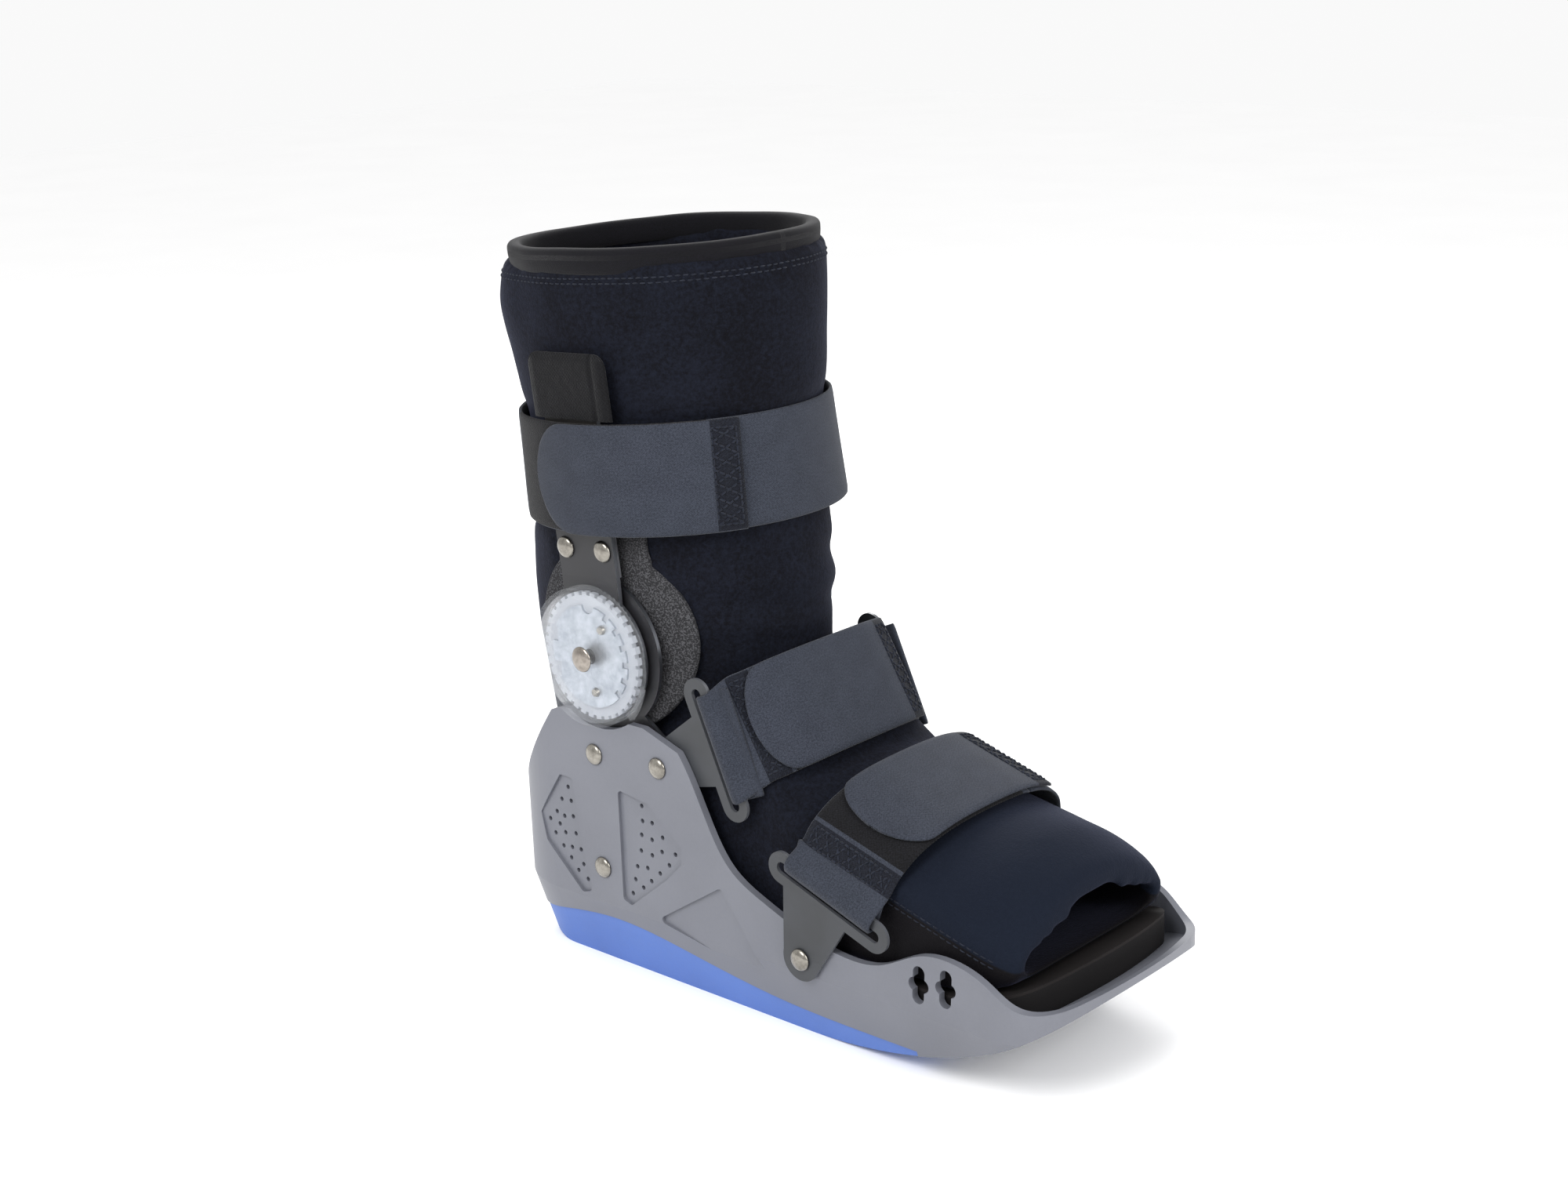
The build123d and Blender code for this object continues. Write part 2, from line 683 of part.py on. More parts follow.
# Ovals from the cuff down to the heel: over the axis along the leg, then level with the ground.
LEG_OVALS = [
    (CUFF_EDGE, 3.0, 63.2, beside_upright(CUFF_EDGE)),
    (CUFF_EDGE - 18, 0.0, 66.6, beside_upright(CUFF_EDGE - 18)),
    (BAR_TOP + 3, 0.0, 67.5, beside_upright(BAR_TOP)),
    (STRAP_TOP + 4, 1.0, 64.5, beside_upright(STRAP_TOP)),
    (STRAP_TOP + 1, CALF_CENTRE, CALF_LONG - GAP, beside_upright(STRAP_TOP) - 0.3),
    (CALF_Z - 1, CALF_CENTRE, CALF_LONG - GAP, beside_upright(CALF_Z) - 0.3),
    (CALF_Z - 6, -1.5, 65.5, beside_upright(CALF_Z) - 0.5),
    (19, -3.5, 68.0, 47.5),
    (0, -5.0, 67.5, HEEL_HALF),
]
HEEL_OVALS = [
    (ANKLE_Z - 31, -4.0, 62.0, HEEL_HALF),
    (BACK_TOP + 3, -2.3, -2.3 - HEEL_X - SHELL_WALL - 1.0, HEEL_HALF),
    (BED_Z, -2.3, -2.3 - HEEL_X - SHELL_WALL - 1.0, HEEL_HALF),
]
INSTEP = (66.4, ANKLE_Z + 4.5)  # where the rear foot strap's upper edge crosses the instep
REAR_STRAP_RUN = 23.6  # how far along the foot the rear strap reaches ahead of that edge
FOOT_SECTIONS = [
    (10, HEEL_HALF - 0.5, ANKLE_Z - 36, ANKLE_Z - 19),
    (45, HEEL_HALF - 0.5, ANKLE_Z - 33, ANKLE_Z - 5),
    (63, HEEL_HALF - 0.5, ANKLE_Z - 31, ANKLE_Z - 0.5),
    (75, HEEL_HALF - 0.5, ANKLE_Z - 37, ANKLE_Z - 13.5),
    (INSTEP[0] + REAR_STRAP_RUN, FOREFOOT_HALF - 1, ANKLE_Z - 47, ANKLE_Z - 34),
    (TOE_X - 109, FOREFOOT_HALF, 78, 95.2),
    (TOE_X - 64, FOREFOOT_HALF, 68, 82),
    (TOE_X - 39, FOREFOOT_HALF, 60, 80),
    (TOE_X - 24, FOREFOOT_HALF - 1, 52, 71),
]


def leg_body(inset):
    """The leg and heel of the liner as a closed body, drawn in by inset."""
    sections = [(LEG.offset(z), c, a - inset, b - inset) for z, c, a, b in LEG_OVALS]
    top = LEG_OVALS[0]
    if inset > 0:
        sections = [(LEG.offset(top[0] + 20), top[1], top[2] - inset, top[3] - inset)] + sections
    sections += [(Plane.XY.offset(z), c, a - inset, b - inset) for z, c, a, b in HEEL_OVALS]
    return oval_loft(sections)


def foot_body(inset):
    """The foot of the liner as a closed body, drawn in by inset. Inside it runs out at the toe."""
    sections = [(x, half - inset, side - inset / 2, top - inset) for x, half, side, top in FOOT_SECTIONS]
    if inset > 0:
        x, half, side, top = sections[-1]
        sections.append((x + 20, half, side, top))
    return foot_loft(sections)


LINER_LIFT = INSOLE_T + COVER_T + GAP
liner_bed = over_bed(LINER_LIFT)
liner_floor = over_bed(LINER_LIFT + LINER_FLOOR)
outer_leg = leg_body(0)
outer_foot = foot_body(0)
inner_leg = leg_body(LINER_T)
inner_foot = foot_body(LINER_T)

# The hinge presses a flat into each side of the ankle.
with BuildPart() as pressed:
    for side in (1, -1):
        with BuildSketch(LEG_SIDE.offset(side * LINER_HALF)):
            with Locations((0, (PAD_TOP + GAP - 3 * PAD_R) / 2)):
                Rectangle(3 * PAD_R, PAD_TOP + GAP + 3 * PAD_R)
        extrude(amount=side * 20)

with BuildPart() as hollow:
    add(inner_leg)
    add(inner_foot)
    add(liner_floor, mode=Mode.INTERSECT)

with BuildPart() as liner:
    add(outer_leg)
    add(pressed.part, mode=Mode.SUBTRACT)
    add(outer_foot)
    add(liner_bed, mode=Mode.INTERSECT)
    add(hollow.part, mode=Mode.SUBTRACT)

# The liner is one boot. It is parted above and below the ankle, where the fabric crumples.
slope = degrees(atan2(INSTEP[1] - (ANKLE_Z - 33), INSTEP[0] - (HEEL_X - 10)))
ANKLE_CUT = Plane(
    origin=(INSTEP[0], 0, INSTEP[1]),
    x_dir=(cos(radians(slope)), 0, sin(radians(slope))),
    z_dir=(-sin(radians(slope)), 0, cos(radians(slope))),
)
CUFF_CUT = LEG.offset(CUFF_START)
cutter = Box(FAR, FAR, FAR, align=(Align.CENTER, Align.CENTER, Align.MIN))
over_ankle_cut = ANKLE_CUT * cutter
over_ankle_gap = ANKLE_CUT.offset(SPLIT_GAP) * cutter
over_cuff_cut = CUFF_CUT * cutter
over_cuff_gap = CUFF_CUT.offset(-SPLIT_GAP) * cutter

with BuildPart() as liner_foot:
    add(liner.part)
    add(over_ankle_cut, mode=Mode.SUBTRACT)
write(liner_foot.part, "liner_foot")

with BuildPart() as liner_ankle:
    add(liner.part)
    add(over_ankle_gap, mode=Mode.INTERSECT)
    add(over_cuff_gap, mode=Mode.SUBTRACT)
write(liner_ankle.part, "liner_ankle")

with BuildPart() as liner_cuff:
    add(liner.part)
    add(over_cuff_cut, mode=Mode.INTERSECT)
write(liner_cuff.part, "liner_cuff")

# The cuff's top edge is bound with soft tape.
with BuildPart() as cuff_binding:
    top = LEG_OVALS[0]
    with BuildSketch(LEG.offset(CUFF_EDGE)):
        with Locations((top[1], 0)):
            Ellipse(top[2] + 0.8, top[3] + 0.8)
            Ellipse(top[2] - LINER_T - 0.8, top[3] - LINER_T - 0.8, mode=Mode.SUBTRACT)
    extrude(amount=BINDING)
    fillet(cuff_binding.faces().sort_by(Axis.Z)[-1].edges(), 2.5)
write(cuff_binding.part, "cuff_binding")


# ---------------------------------------------------------------- calf strap

STRAP_LAYER_GAP = 0.3
# The strap's oval clears the corners of the hinge arm that it crosses.
ARM_CORNER = (ARM_HALF + CALF_CENTRE + 1) / CALF_LONG
CALF_WIDE = (ARM_OUT + flare(ARM_TOP) + GAP) / sqrt(1 - ARM_CORNER**2)
FLAP_IN = WEB_T + STRAP_LAYER_GAP


def calf_ring(inside, thickness):
    """A ring of webbing round the leg, with its inner face this far out from the liner."""
    with BuildPart() as ring:
        with BuildSketch(LEG.offset(CALF_Z)):
            with Locations((CALF_CENTRE, 0)):
                Ellipse(CALF_LONG + inside + thickness, CALF_WIDE + inside + thickness)
                Ellipse(CALF_LONG + inside, CALF_WIDE + inside, mode=Mode.SUBTRACT)
        extrude(amount=WEB_W)
    return ring.part


write(calf_ring(0, WEB_T), "calf_band")

# The strap's closing flap: sewn on in front, it wraps forward of the right upright to a round tip.
FLAP_ROOT = -26.0  # direction of its sewn end, seen from above
FLAP_TIP = -107.0  # direction of its tip
flap_ring = calf_ring(FLAP_IN, WEB_T)


def on_calf(angle, out):
    """A point of the strap's oval in the leg's plane, in a direction seen from the middle."""
    return (
        CALF_CENTRE + (CALF_LONG + out) * cos(radians(angle)),
        (CALF_WIDE + out) * sin(radians(angle)),
    )


with BuildPart() as flap_wedge:
    with BuildSketch(LEG.offset(CALF_Z)):
        with BuildLine():
            Polyline(
                (CALF_CENTRE, 0),
                on_calf(FLAP_ROOT, 40),
                on_calf((FLAP_ROOT + FLAP_TIP) / 2, 60),
                on_calf(FLAP_TIP, 40),
                close=True,
            )
        make_face()
    extrude(amount=WEB_W)
tip_x = on_calf(FLAP_TIP, 0)[0]
with BuildPart() as flap_shape:
    with BuildSketch(LEG_SIDE):
        with BuildLine():
            low = CALF_Z
            high = CALF_Z + WEB_W
            nose = ThreePointArc((tip_x + 17, high), (tip_x, (low + high) / 2), (tip_x + 17, low))
            Polyline(nose @ 1, (FAR, low), (FAR, high), nose @ 0)
        make_face()
    extrude(amount=FAR)
with BuildPart() as calf_flap:
    add(flap_ring)
    add(flap_wedge.part, mode=Mode.INTERSECT)
    add(flap_shape.part, mode=Mode.INTERSECT)
write(calf_flap.part, "calf_flap")


# ---------------------------------------------------------------- foot straps


def moved_out(points, distance):
    """The points of an arch, each moved out square to the arch."""
    result = []
    for i, (u, v) in enumerate(points):
        before = points[max(i - 1, 0)]
        after = points[min(i + 1, len(points) - 1)]
        run = hypot(after[0] - before[0], after[1] - before[1])
        out_u = -(after[1] - before[1]) / run
        out_v = (after[0] - before[0]) / run
        result.append((u + distance * out_u, v + distance * out_v))
    return result


def strap_layer(plane, half_arch, inside, side_room):
    """A layer of webbing over the foot, cut to the span side_room = (from, to) across it.

    half_arch runs from the crown to the left end as (across, up) in the strap's plane.
    """
    left = [(u, v) for u, v in half_arch if u > 0]
    arch = [(-u, v) for u, v in reversed(left)] + [(0, half_arch[0][1])] + left
    lower = moved_out(arch, inside)
    upper = moved_out(arch, inside + WEB_T)
    middle = (side_room[0] + side_room[1]) / 2
    with BuildPart() as layer:
        with BuildSketch(plane):
            with BuildLine():
                under = Spline(*lower)
                over = Spline(*upper)
                Line(under @ 0, over @ 0)
                Line(under @ 1, over @ 1)
            make_face()
            with Locations((middle, 0)):
                Rectangle(side_room[1] - side_room[0], FAR, mode=Mode.INTERSECT)
        extrude(amount=WEB_W)
    return layer.part


def strap_plane(crown, direction):
    """The plane of a strap's upper edge: across the foot, and up square to the strap."""
    along = Vector(direction[0], 0, direction[1]).normalized()
    return Plane(origin=(crown[0], 0, crown[1]), x_dir=(0, 1, 0), z_dir=(along.X, 0, along.Z))


TIP_ROUND = 10.0  # how much of a foot strap's end is rounded


def round_tip(plane, tip, root):
    """The room under a rounded strap tip that points to the right side of the foot."""
    flat = Plane(origin=plane.origin, x_dir=(0, 1, 0), z_dir=plane.y_dir)
    along = -WEB_W
    with BuildPart() as room:
        with BuildSketch(flat):
            with BuildLine():
                nose = ThreePointArc((tip + TIP_ROUND, 0), (tip, along / 2), (tip + TIP_ROUND, along))
                Polyline(nose @ 1, (root, along), (root, 0), nose @ 0)
            make_face()
        extrude(amount=FAR / 5, both=True)
    return room.part


REAR_STRAP = strap_plane(INSTEP, (0.518, -0.855))
INSTEP_HALF = FOOT_SECTIONS[1][1]
REAR_ARCH = [
    (0, 2.0),
    (0.44 * INSTEP_HALF, 1.2),
    (0.727 * INSTEP_HALF, -2.5),
    (0.859 * INSTEP_HALF, -6.0),
    (0.958 * INSTEP_HALF, -10.0),
]
FRONT_CROWN = (TOE_X - 108.5, 95.5)
FRONT_STRAP = strap_plane(FRONT_CROWN, (0.959, -0.284))
FRONT_ARCH = [
    (0, 2.5),
    (0.414 * FOREFOOT_HALF, 1.6),
    (0.683 * FOREFOOT_HALF, -1.2),
    (0.849 * FOREFOOT_HALF, -4.8),
    (0.983 * FOREFOOT_HALF, -10.5),
    (1.056 * FOREFOOT_HALF, -17),
]

for name, plane, arch, ends in (
    ("rear", REAR_STRAP, REAR_ARCH, (-42, 22, 35)),
    ("front", FRONT_STRAP, FRONT_ARCH, (-40, 27, 38)),
):
    tip, patch, root = ends
    reach = arch[-1][0] + 2 * WEB_T
    write(strap_layer(plane, arch, 0, (-reach, patch - 2)), f"{name}_strap_web_right")
    write(strap_layer(plane, arch, 0, (patch - 2 + GAP, reach)), f"{name}_strap_web_left")
    flap = strap_layer(plane, arch, WEB_T + STRAP_LAYER_GAP, (tip - 1, root))
    with BuildPart() as foot_flap:
        add(flap)
        add(round_tip(plane, tip, root + 1), mode=Mode.INTERSECT)
    write(foot_flap.part, f"{name}_strap_flap")


# ---------------------------------------------------------------- strap anchors


def slot_plane(start, end, out):
    """A plane on the right side at the middle of a slot, with X along the slot."""
    along = Vector(end[0] - start[0], 0, end[1] - start[1]).normalized()
    return Plane(
        origin=((start[0] + end[0]) / 2, -out, (start[1] + end[1]) / 2),
        x_dir=along,
        z_dir=(0, -1, 0),
    )


def anchor(plane, length, out, rivet, shoulder):
    """A flat plate: a long loop for the webbing and a tab that swivels on one rivet."""
    local = plane.to_local_coords(Vector(rivet[0], -out, rivet[1]))
    with BuildPart() as plate:
        with BuildSketch(plane):
            SlotOverall(length + SLOT_W + 2 * ANCHOR_BAR, SLOT_W + 2 * ANCHOR_BAR)
            with Locations((local.X, local.Y)):
                Circle(8.5)
            with BuildLine():
                Polyline(
                    (local.X - 8.4, local.Y - 1),
                    (shoulder[0], 0),
                    (shoulder[1], 0),
                    (local.X + 8.4, local.Y - 1),
                    close=True,
                )
            make_face()
            SlotOverall(length + SLOT_W, SLOT_W, mode=Mode.SUBTRACT)
            with Locations((local.X, local.Y)):
                Circle(RIVET_R + FIT, mode=Mode.SUBTRACT)
        extrude(amount=ANCHOR_T)
    return plate.part


def web_loop(plane):
    """The sewn end of the webbing round the outer bar of an anchor."""
    bar = SLOT_W / 2 + ANCHOR_BAR / 2
    inner = ANCHOR_BAR / 2 + LOOP_GAP
    outer = inner + WEB_T
    away = 1 if plane.y_dir.X + plane.y_dir.Z > 0 else -1
    with BuildPart() as loop:
        with BuildSketch(plane.offset(-LOOP_GAP - WEB_T)):
            with Locations((0, away * bar)):
                Rectangle(WEB_W, 2 * outer)
        extrude(amount=ANCHOR_T + 2 * (LOOP_GAP + WEB_T))
        with BuildSketch(plane.offset(-LOOP_GAP)):
            with Locations((0, away * bar)):
                Rectangle(WEB_W, 2 * inner)
        extrude(amount=ANCHOR_T + 2 * LOOP_GAP, mode=Mode.SUBTRACT)
    return loop.part


REAR_SLOT = ((48.7, ANKLE_Z - 4.5), (68.2, ANKLE_Z - 49.1))
FRONT_SLOT = ((TOE_X - 124.5, 70.0), (TOE_X - 72.5, 51.6))
rear_plane = slot_plane(*REAR_SLOT, ANCHOR_IN)
front_plane = slot_plane(*FRONT_SLOT, FRONT_IN)
SLOT_L = 48.0
write_pair(anchor(rear_plane, SLOT_L - SLOT_W, ANCHOR_IN, ANCHOR_RIVET, (-16, 14)), "rear_anchor")
write_pair(anchor(front_plane, SLOT_L - SLOT_W + 2, FRONT_IN, FRONT_RIVET, (-22, 12)), "front_anchor")
write_pair(web_loop(rear_plane), "rear_web_loop")
write_pair(web_loop(front_plane), "front_web_loop")
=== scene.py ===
# %% [markdown]
# # A low ankle walker boot
# A rigid shell holds the foot on a rocker sole. A padded boot liner stands in it, and a leg section turns on
# a hinge at each side of the ankle. Three straps close it. The rigid parts come from the CAD model, and this
# lesson adds what CAD can't show: soft fabric, woven straps, stitching, domed rivets and finishes.

import json
import math

import bmesh
import bpy
import numpy as np
from mathutils import Matrix, Vector, noise
from mathutils.bvhtree import BVHTree


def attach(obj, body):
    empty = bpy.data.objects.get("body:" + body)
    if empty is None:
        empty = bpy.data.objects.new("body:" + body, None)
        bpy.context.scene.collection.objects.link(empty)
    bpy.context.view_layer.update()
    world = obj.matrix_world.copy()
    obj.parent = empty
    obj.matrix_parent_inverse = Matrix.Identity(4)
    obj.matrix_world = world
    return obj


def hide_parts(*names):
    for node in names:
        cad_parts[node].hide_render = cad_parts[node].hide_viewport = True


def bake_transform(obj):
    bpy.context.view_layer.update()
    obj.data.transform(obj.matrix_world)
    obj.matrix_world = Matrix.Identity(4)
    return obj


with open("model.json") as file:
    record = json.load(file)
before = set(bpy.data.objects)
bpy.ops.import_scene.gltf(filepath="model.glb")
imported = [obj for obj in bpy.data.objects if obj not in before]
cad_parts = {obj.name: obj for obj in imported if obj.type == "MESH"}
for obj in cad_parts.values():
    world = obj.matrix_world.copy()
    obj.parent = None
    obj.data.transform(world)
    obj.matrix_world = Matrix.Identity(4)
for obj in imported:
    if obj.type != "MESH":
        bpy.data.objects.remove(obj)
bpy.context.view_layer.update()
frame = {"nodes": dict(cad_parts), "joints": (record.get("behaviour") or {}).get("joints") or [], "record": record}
nodes = frame["nodes"]

# %% [markdown]
# ## Places that everything is measured from
# The leg section leans back a little, so its pieces are placed by their distance forward, across and up
# from the ankle axis, along the leg. Sizes are written in millimetres and turned into metres in one place.

# %% The leg's directions
MM = 0.001
joints = {joint["name"]: joint for joint in frame["joints"]}
ANKLE = Vector(joints["ankle"]["pos_m"])
LEAN = math.radians(3.6)
FORWARD = Vector((math.cos(LEAN), 0, math.sin(LEAN)))
UP = Vector((-math.sin(LEAN), 0, math.cos(LEAN)))
ACROSS = Vector((0, 1, 0))
SIDES = {"right": -1, "left": 1}
# The uprights start this far across and up from the ankle axis, and lean outwards from there.
FLARE = math.radians(3.0)
HINGE_OUT, FLARE_FROM, BAR_T = 49.5, 30, 1.8
# The side seam on the forefoot: its height at one place along the foot, and how it falls towards the toes.
SEAM_UP, SEAM_FROM, SEAM_SLOPE = 74.5, 105, 0.28
# Each foot strap's crown over the instep, and its direction across its own width.
REAR_CROWN, REAR_ALONG = Vector((66.4, 0, 135.5)), Vector((0.518, 0, -0.855))
FRONT_CROWN, FRONT_ALONG = Vector((105.5, 0, 95.5)), Vector((0.959, 0, -0.284))


def at(x, y, z):
    """A place in the shared frame, given in millimetres."""
    return Vector((x, y, z)) * MM


def leg_at(forward, across, up):
    """A place on the leg section, in millimetres from the middle of the ankle axis."""
    return ANKLE + (FORWARD * forward + ACROSS * across + UP * up) * MM


def smooth(low, high, value):
    """Rises gently from 0 at low to 1 at high."""
    t = min(max((value - low) / (high - low), 0), 1)
    return t * t * (3 - 2 * t)


print("ankle axis at", tuple(round(v, 4) for v in ANKLE))

# %% [markdown]
# ## Writing materials as formulas
# A material is a small program of nodes. Wrapping a socket in a class with + - and * lets the program read
# like a formula. Numbers go through Math nodes, colours through Mix nodes and directions through Vector Math.


# %% A socket that knows arithmetic
class Val:
    """One output socket of a material, with the operators that its formulas use."""

    def __init__(self, mat, socket):
        self.mat = mat
        self.socket = socket

    def _math(self, operation, a, b=0.0):
        return self.mat.node("ShaderNodeMath", {"operation": operation}, {0: a, 1: b})

    def __add__(self, other):
        return self._math("ADD", self, other)

    __radd__ = __add__

    def __mul__(self, other):
        return self._math("MULTIPLY", self, other)

    __rmul__ = __mul__

    def __sub__(self, other):
        return self._math("SUBTRACT", self, other)

    def __rsub__(self, other):
        return self._math("SUBTRACT", other, self)

    def above(self, edge, soft):
        """Rises from 0 to 1 as the value passes an edge, over a soft width."""
        low, high = edge - soft / 2, edge + soft / 2
        sockets = {"Value": self, "From Min": low, "From Max": high}
        return self.mat.node("ShaderNodeMapRange", {"interpolation_type": "SMOOTHSTEP"}, sockets)


# %% One method for every other node
class Finish:
    """A named material whose nodes are added by formulas."""

    def __init__(self, name, **constants):
        self.material = bpy.data.materials.new(name)
        self.material.use_nodes = True
        self.tree = self.material.node_tree
        self.shader = self.tree.nodes["Principled BSDF"]
        for socket, value in constants.items():
            self.shader.inputs[socket.replace("_", " ")].default_value = value

    def node(self, kind, settings=None, sockets=None, out=0):
        """Add a node: settings first, then the values or links of its sockets."""
        new = self.tree.nodes.new(kind)
        for key, value in (settings or {}).items():
            setattr(new, key, value)
        for key, value in (sockets or {}).items():
            if isinstance(value, Val):
                self.tree.links.new(value.socket, new.inputs[key])
            else:
                new.inputs[key].default_value = value
        return Val(self, new.outputs[out])

    def mix(self, factor, a, b):
        """A colour between a and b."""
        return self.node("ShaderNodeMix", {"data_type": "RGBA"}, {0: factor, 6: a, 7: b}, out=2)

    def noise(self, where, scale, detail=2.0, rough=0.5):
        sockets = {"Vector": where, "Scale": scale, "Detail": detail, "Roughness": rough}
        return self.node("ShaderNodeTexNoise", None, sockets)

    def rest(self):
        """Where the surface lies, in metres, with the boot at rest."""
        return self.node("ShaderNodeAttribute", {"attribute_name": "rest_place"}, out=1)

    def here(self):
        """Where the surface lies on a rigid piece, in metres."""
        return self.node("ShaderNodeTexCoord", out=3)

    def cloth_map(self):
        """How far along and across a strap the surface lies, in metres."""
        return self.node("ShaderNodeUVMap", {"uv_map": "cloth"})

    def part(self, vector, axis):
        return self.node("ShaderNodeSeparateXYZ", None, {0: vector}, out=axis)

    def bump(self, height, strength, distance):
        sockets = {"Height": height, "Strength": strength, "Distance": distance}
        return self.node("ShaderNodeBump", None, sockets)

    def set(self, **sockets):
        """Link or set the shader's own sockets."""
        for name, value in sockets.items():
            socket = self.shader.inputs[name.replace("_", " ")]
            if isinstance(value, Val):
                self.tree.links.new(value.socket, socket)
            else:
                socket.default_value = value
        return self.material


def shade(code):
    """A colour from its web code, as linear light."""
    values = [int(code[i : i + 2], 16) / 255 for i in (1, 3, 5)]
    linear = [v / 12.92 if v <= 0.04045 else ((v + 0.055) / 1.055) ** 2.4 for v in values]
    return (*linear, 1.0)


print("material helpers ready")


# %% [markdown]
# ## Finishes of the rigid parts
# Moulded plastic isn't one flat grey: it has a fine spark-eroded grain, faint flow clouds, and its gloss
# changes with handling. Each finish below lets noise vary the colour and the roughness, and puts the grain in
# a bump. Noise that follows the position needs no unwrapping, so it suits CAD solids.


# %% Shell, sole and insole
def moulded(name, light, dark, rough, grain, grain_height, **constants):
    """Moulded plastic or rubber: soft clouds of two close shades under a fine grain."""
    finish = Finish(name, **constants)
    where = finish.here()
    clouds = finish.noise(where, 22.0, 3.0)
    fine = finish.noise(where, grain, 2.0, 0.6)
    colour = finish.mix((clouds * 0.8 + fine * 0.2).above(0.5, 0.5), dark, light)
    height = fine * 0.8 + clouds * 0.2
    return finish.set(
        Base_Color=colour,
        Roughness=rough + (clouds - 0.5) * 0.16 + (fine - 0.5) * 0.1,
        Normal=finish.bump(height, 0.35, grain_height),
    )


finishes = {
    "shell_plastic": moulded("shell_plastic", shade("#696b73"), shade("#5f6169"), 0.42, 900.0, 0.0001),
    "sole_rubber": moulded("sole_rubber", shade("#4f6fb4"), shade("#4463a6"), 0.55, 700.0, 0.00015),
    "insole_foam": moulded(
        "insole_foam", shade("#171516"), shade("#0f0e0f"), 0.85, 1400.0, 0.0002, Specular_IOR_Level=0.2
    ),
    "insole_fabric": moulded(
        "insole_fabric", shade("#242020"), shade("#171515"), 0.75, 1800.0, 0.00015, Specular_IOR_Level=0.2
    ),
    "nylon": moulded("nylon", shade("#202124"), shade("#17181a"), 0.5, 900.0, 0.0001),
    "index_plastic": moulded("index_plastic", shade("#a7abb2"), shade("#9498a0"), 0.4, 800.0, 0.0001),
}
print("moulded finishes:", sorted(finishes))


# %% [markdown]
# ## Metal finishes
# The arm and upright are punched from painted sheet, so their flat faces are dark and their cut edges shine.
# The face's own direction tells them apart: it points sideways on a face and never on an edge.


# %% Painted sheet with bright cut edges
def punched_sheet(name, paint_light, paint_dark, edge_and_highlight_colour, edge_metal):
    """Painted sheet metal whose cut edges show another finish; on the anchor plate the lighter edge colour is a
    painted highlight.
    """
    finish = Finish(name)
    where = finish.here()
    facing = finish.part(finish.node("ShaderNodeNewGeometry", out=3), 1)
    face = finish.node("ShaderNodeMath", {"operation": "ABSOLUTE"}, {0: facing}).above(0.7, 0.3)
    brushed = finish.node("ShaderNodeVectorMath", {"operation": "MULTIPLY"}, {0: where, 1: (300, 300, 2600)})
    lines = finish.noise(brushed, 1.0, 2.0)
    clouds = finish.noise(where, 60.0, 3.0)
    paint = finish.mix(clouds.above(0.5, 0.4), paint_dark, paint_light)
    return finish.set(
        Base_Color=finish.mix(face, edge_and_highlight_colour, paint),
        Metallic=edge_metal * (1 - face),
        Roughness=0.3 + face * 0.22 + (clouds - 0.5) * 0.14,
        Normal=finish.bump(lines * 0.5 + clouds * 0.5, 0.25, 0.0001),
    )


for name, paint_light, paint_dark, edge_and_highlight_colour, edge_metal in (
    ("upright_alloy", "#2a2725", "#211f1e", "#c9ccd2", 1.0),
    ("hinge_steel", "#202024", "#1a1a1d", "#8f9299", 1.0),
    # The anchor plate's lighter grey edge colour is a painted highlight along its bevelled rims.
    ("anchor_plate", "#35373b", "#2c2e31", "#57595e", 0.2),
):
    shades = [shade(code) for code in (paint_light, paint_dark, edge_and_highlight_colour)]
    finishes[name] = punched_sheet(name, *shades, edge_metal)


# %% Polished rivets and the pale cam plate
def polished(name, light, dark, rough, scale):
    """Bare polished metal with faint handling marks."""
    finish = Finish(name, Metallic=1.0)
    where = finish.here()
    marks = finish.noise(where, scale, 4.0, 0.65)
    return finish.set(
        Base_Color=finish.mix(marks.above(0.5, 0.5), dark, light),
        Roughness=rough + (marks - 0.5) * 0.22,
        Normal=finish.bump(marks, 0.12, 0.0001),
    )


finishes["rivet_steel"] = polished("rivet_steel", shade("#9b978f"), shade("#77736c"), 0.24, 420.0)
finishes["dial_metal"] = polished("dial_metal", shade("#c0c6ce"), shade("#959ca6"), 0.38, 240.0)
finishes["pivot_brass"] = polished("pivot_brass", shade("#a39c94"), shade("#7f7871"), 0.22, 420.0)

# %% [markdown]
# ## The clear cover
# The dial's cover is clear polycarbonate. It is nearly see-through, and a pale tint, a little roughness and
# faint cloudy marks keep it from looking like an empty hole.

# %% Clear polycarbonate
clear = Finish("clear_cover", Transmission_Weight=0.7, IOR=1.18, Coat_Weight=0.5)
clear_where = clear.here()
clear_marks = clear.noise(clear_where, 160.0, 3.0)
finishes["clear_cover"] = clear.set(
    Base_Color=clear.mix(clear_marks.above(0.5, 0.6), shade("#d3d7dd"), shade("#eef1f5")),
    Roughness=0.06 + clear_marks * 0.08,
    Alpha=0.1 + clear_marks * 0.14,
    Normal=clear.bump(clear_marks, 0.2, 0.0002),
)

# %% Speckled pad foam
foam = Finish("pad_foam", Specular_IOR_Level=0.2)
foam_where = foam.here()
foam_cells = foam.node("ShaderNodeTexVoronoi", None, {"Vector": foam_where, "Scale": 900.0})
foam_speck = foam.noise(foam_where, 1500.0, 2.0, 0.7)
finishes["pad_foam"] = foam.set(
    Base_Color=foam.mix(foam_speck.above(0.53, 0.12), shade("#222224"), shade("#48484b")),
    Roughness=0.82 + foam_speck * 0.12,
    Normal=foam.bump(foam_cells + foam_speck, 0.6, 0.0003),
)
print("all rigid finishes:", len(finishes))

# %% [markdown]
# ## Fabrics
# There are four fabrics. The liner is a napped knit over foam. The straps are brushed loop tape, and the
# parts that they fasten to are a rougher, blacker pile. The edge tape is a fine rib. The nap catches light at
# its edges, which the shader's sheen does, and threads are drawn by crossing waves at their real spacing.


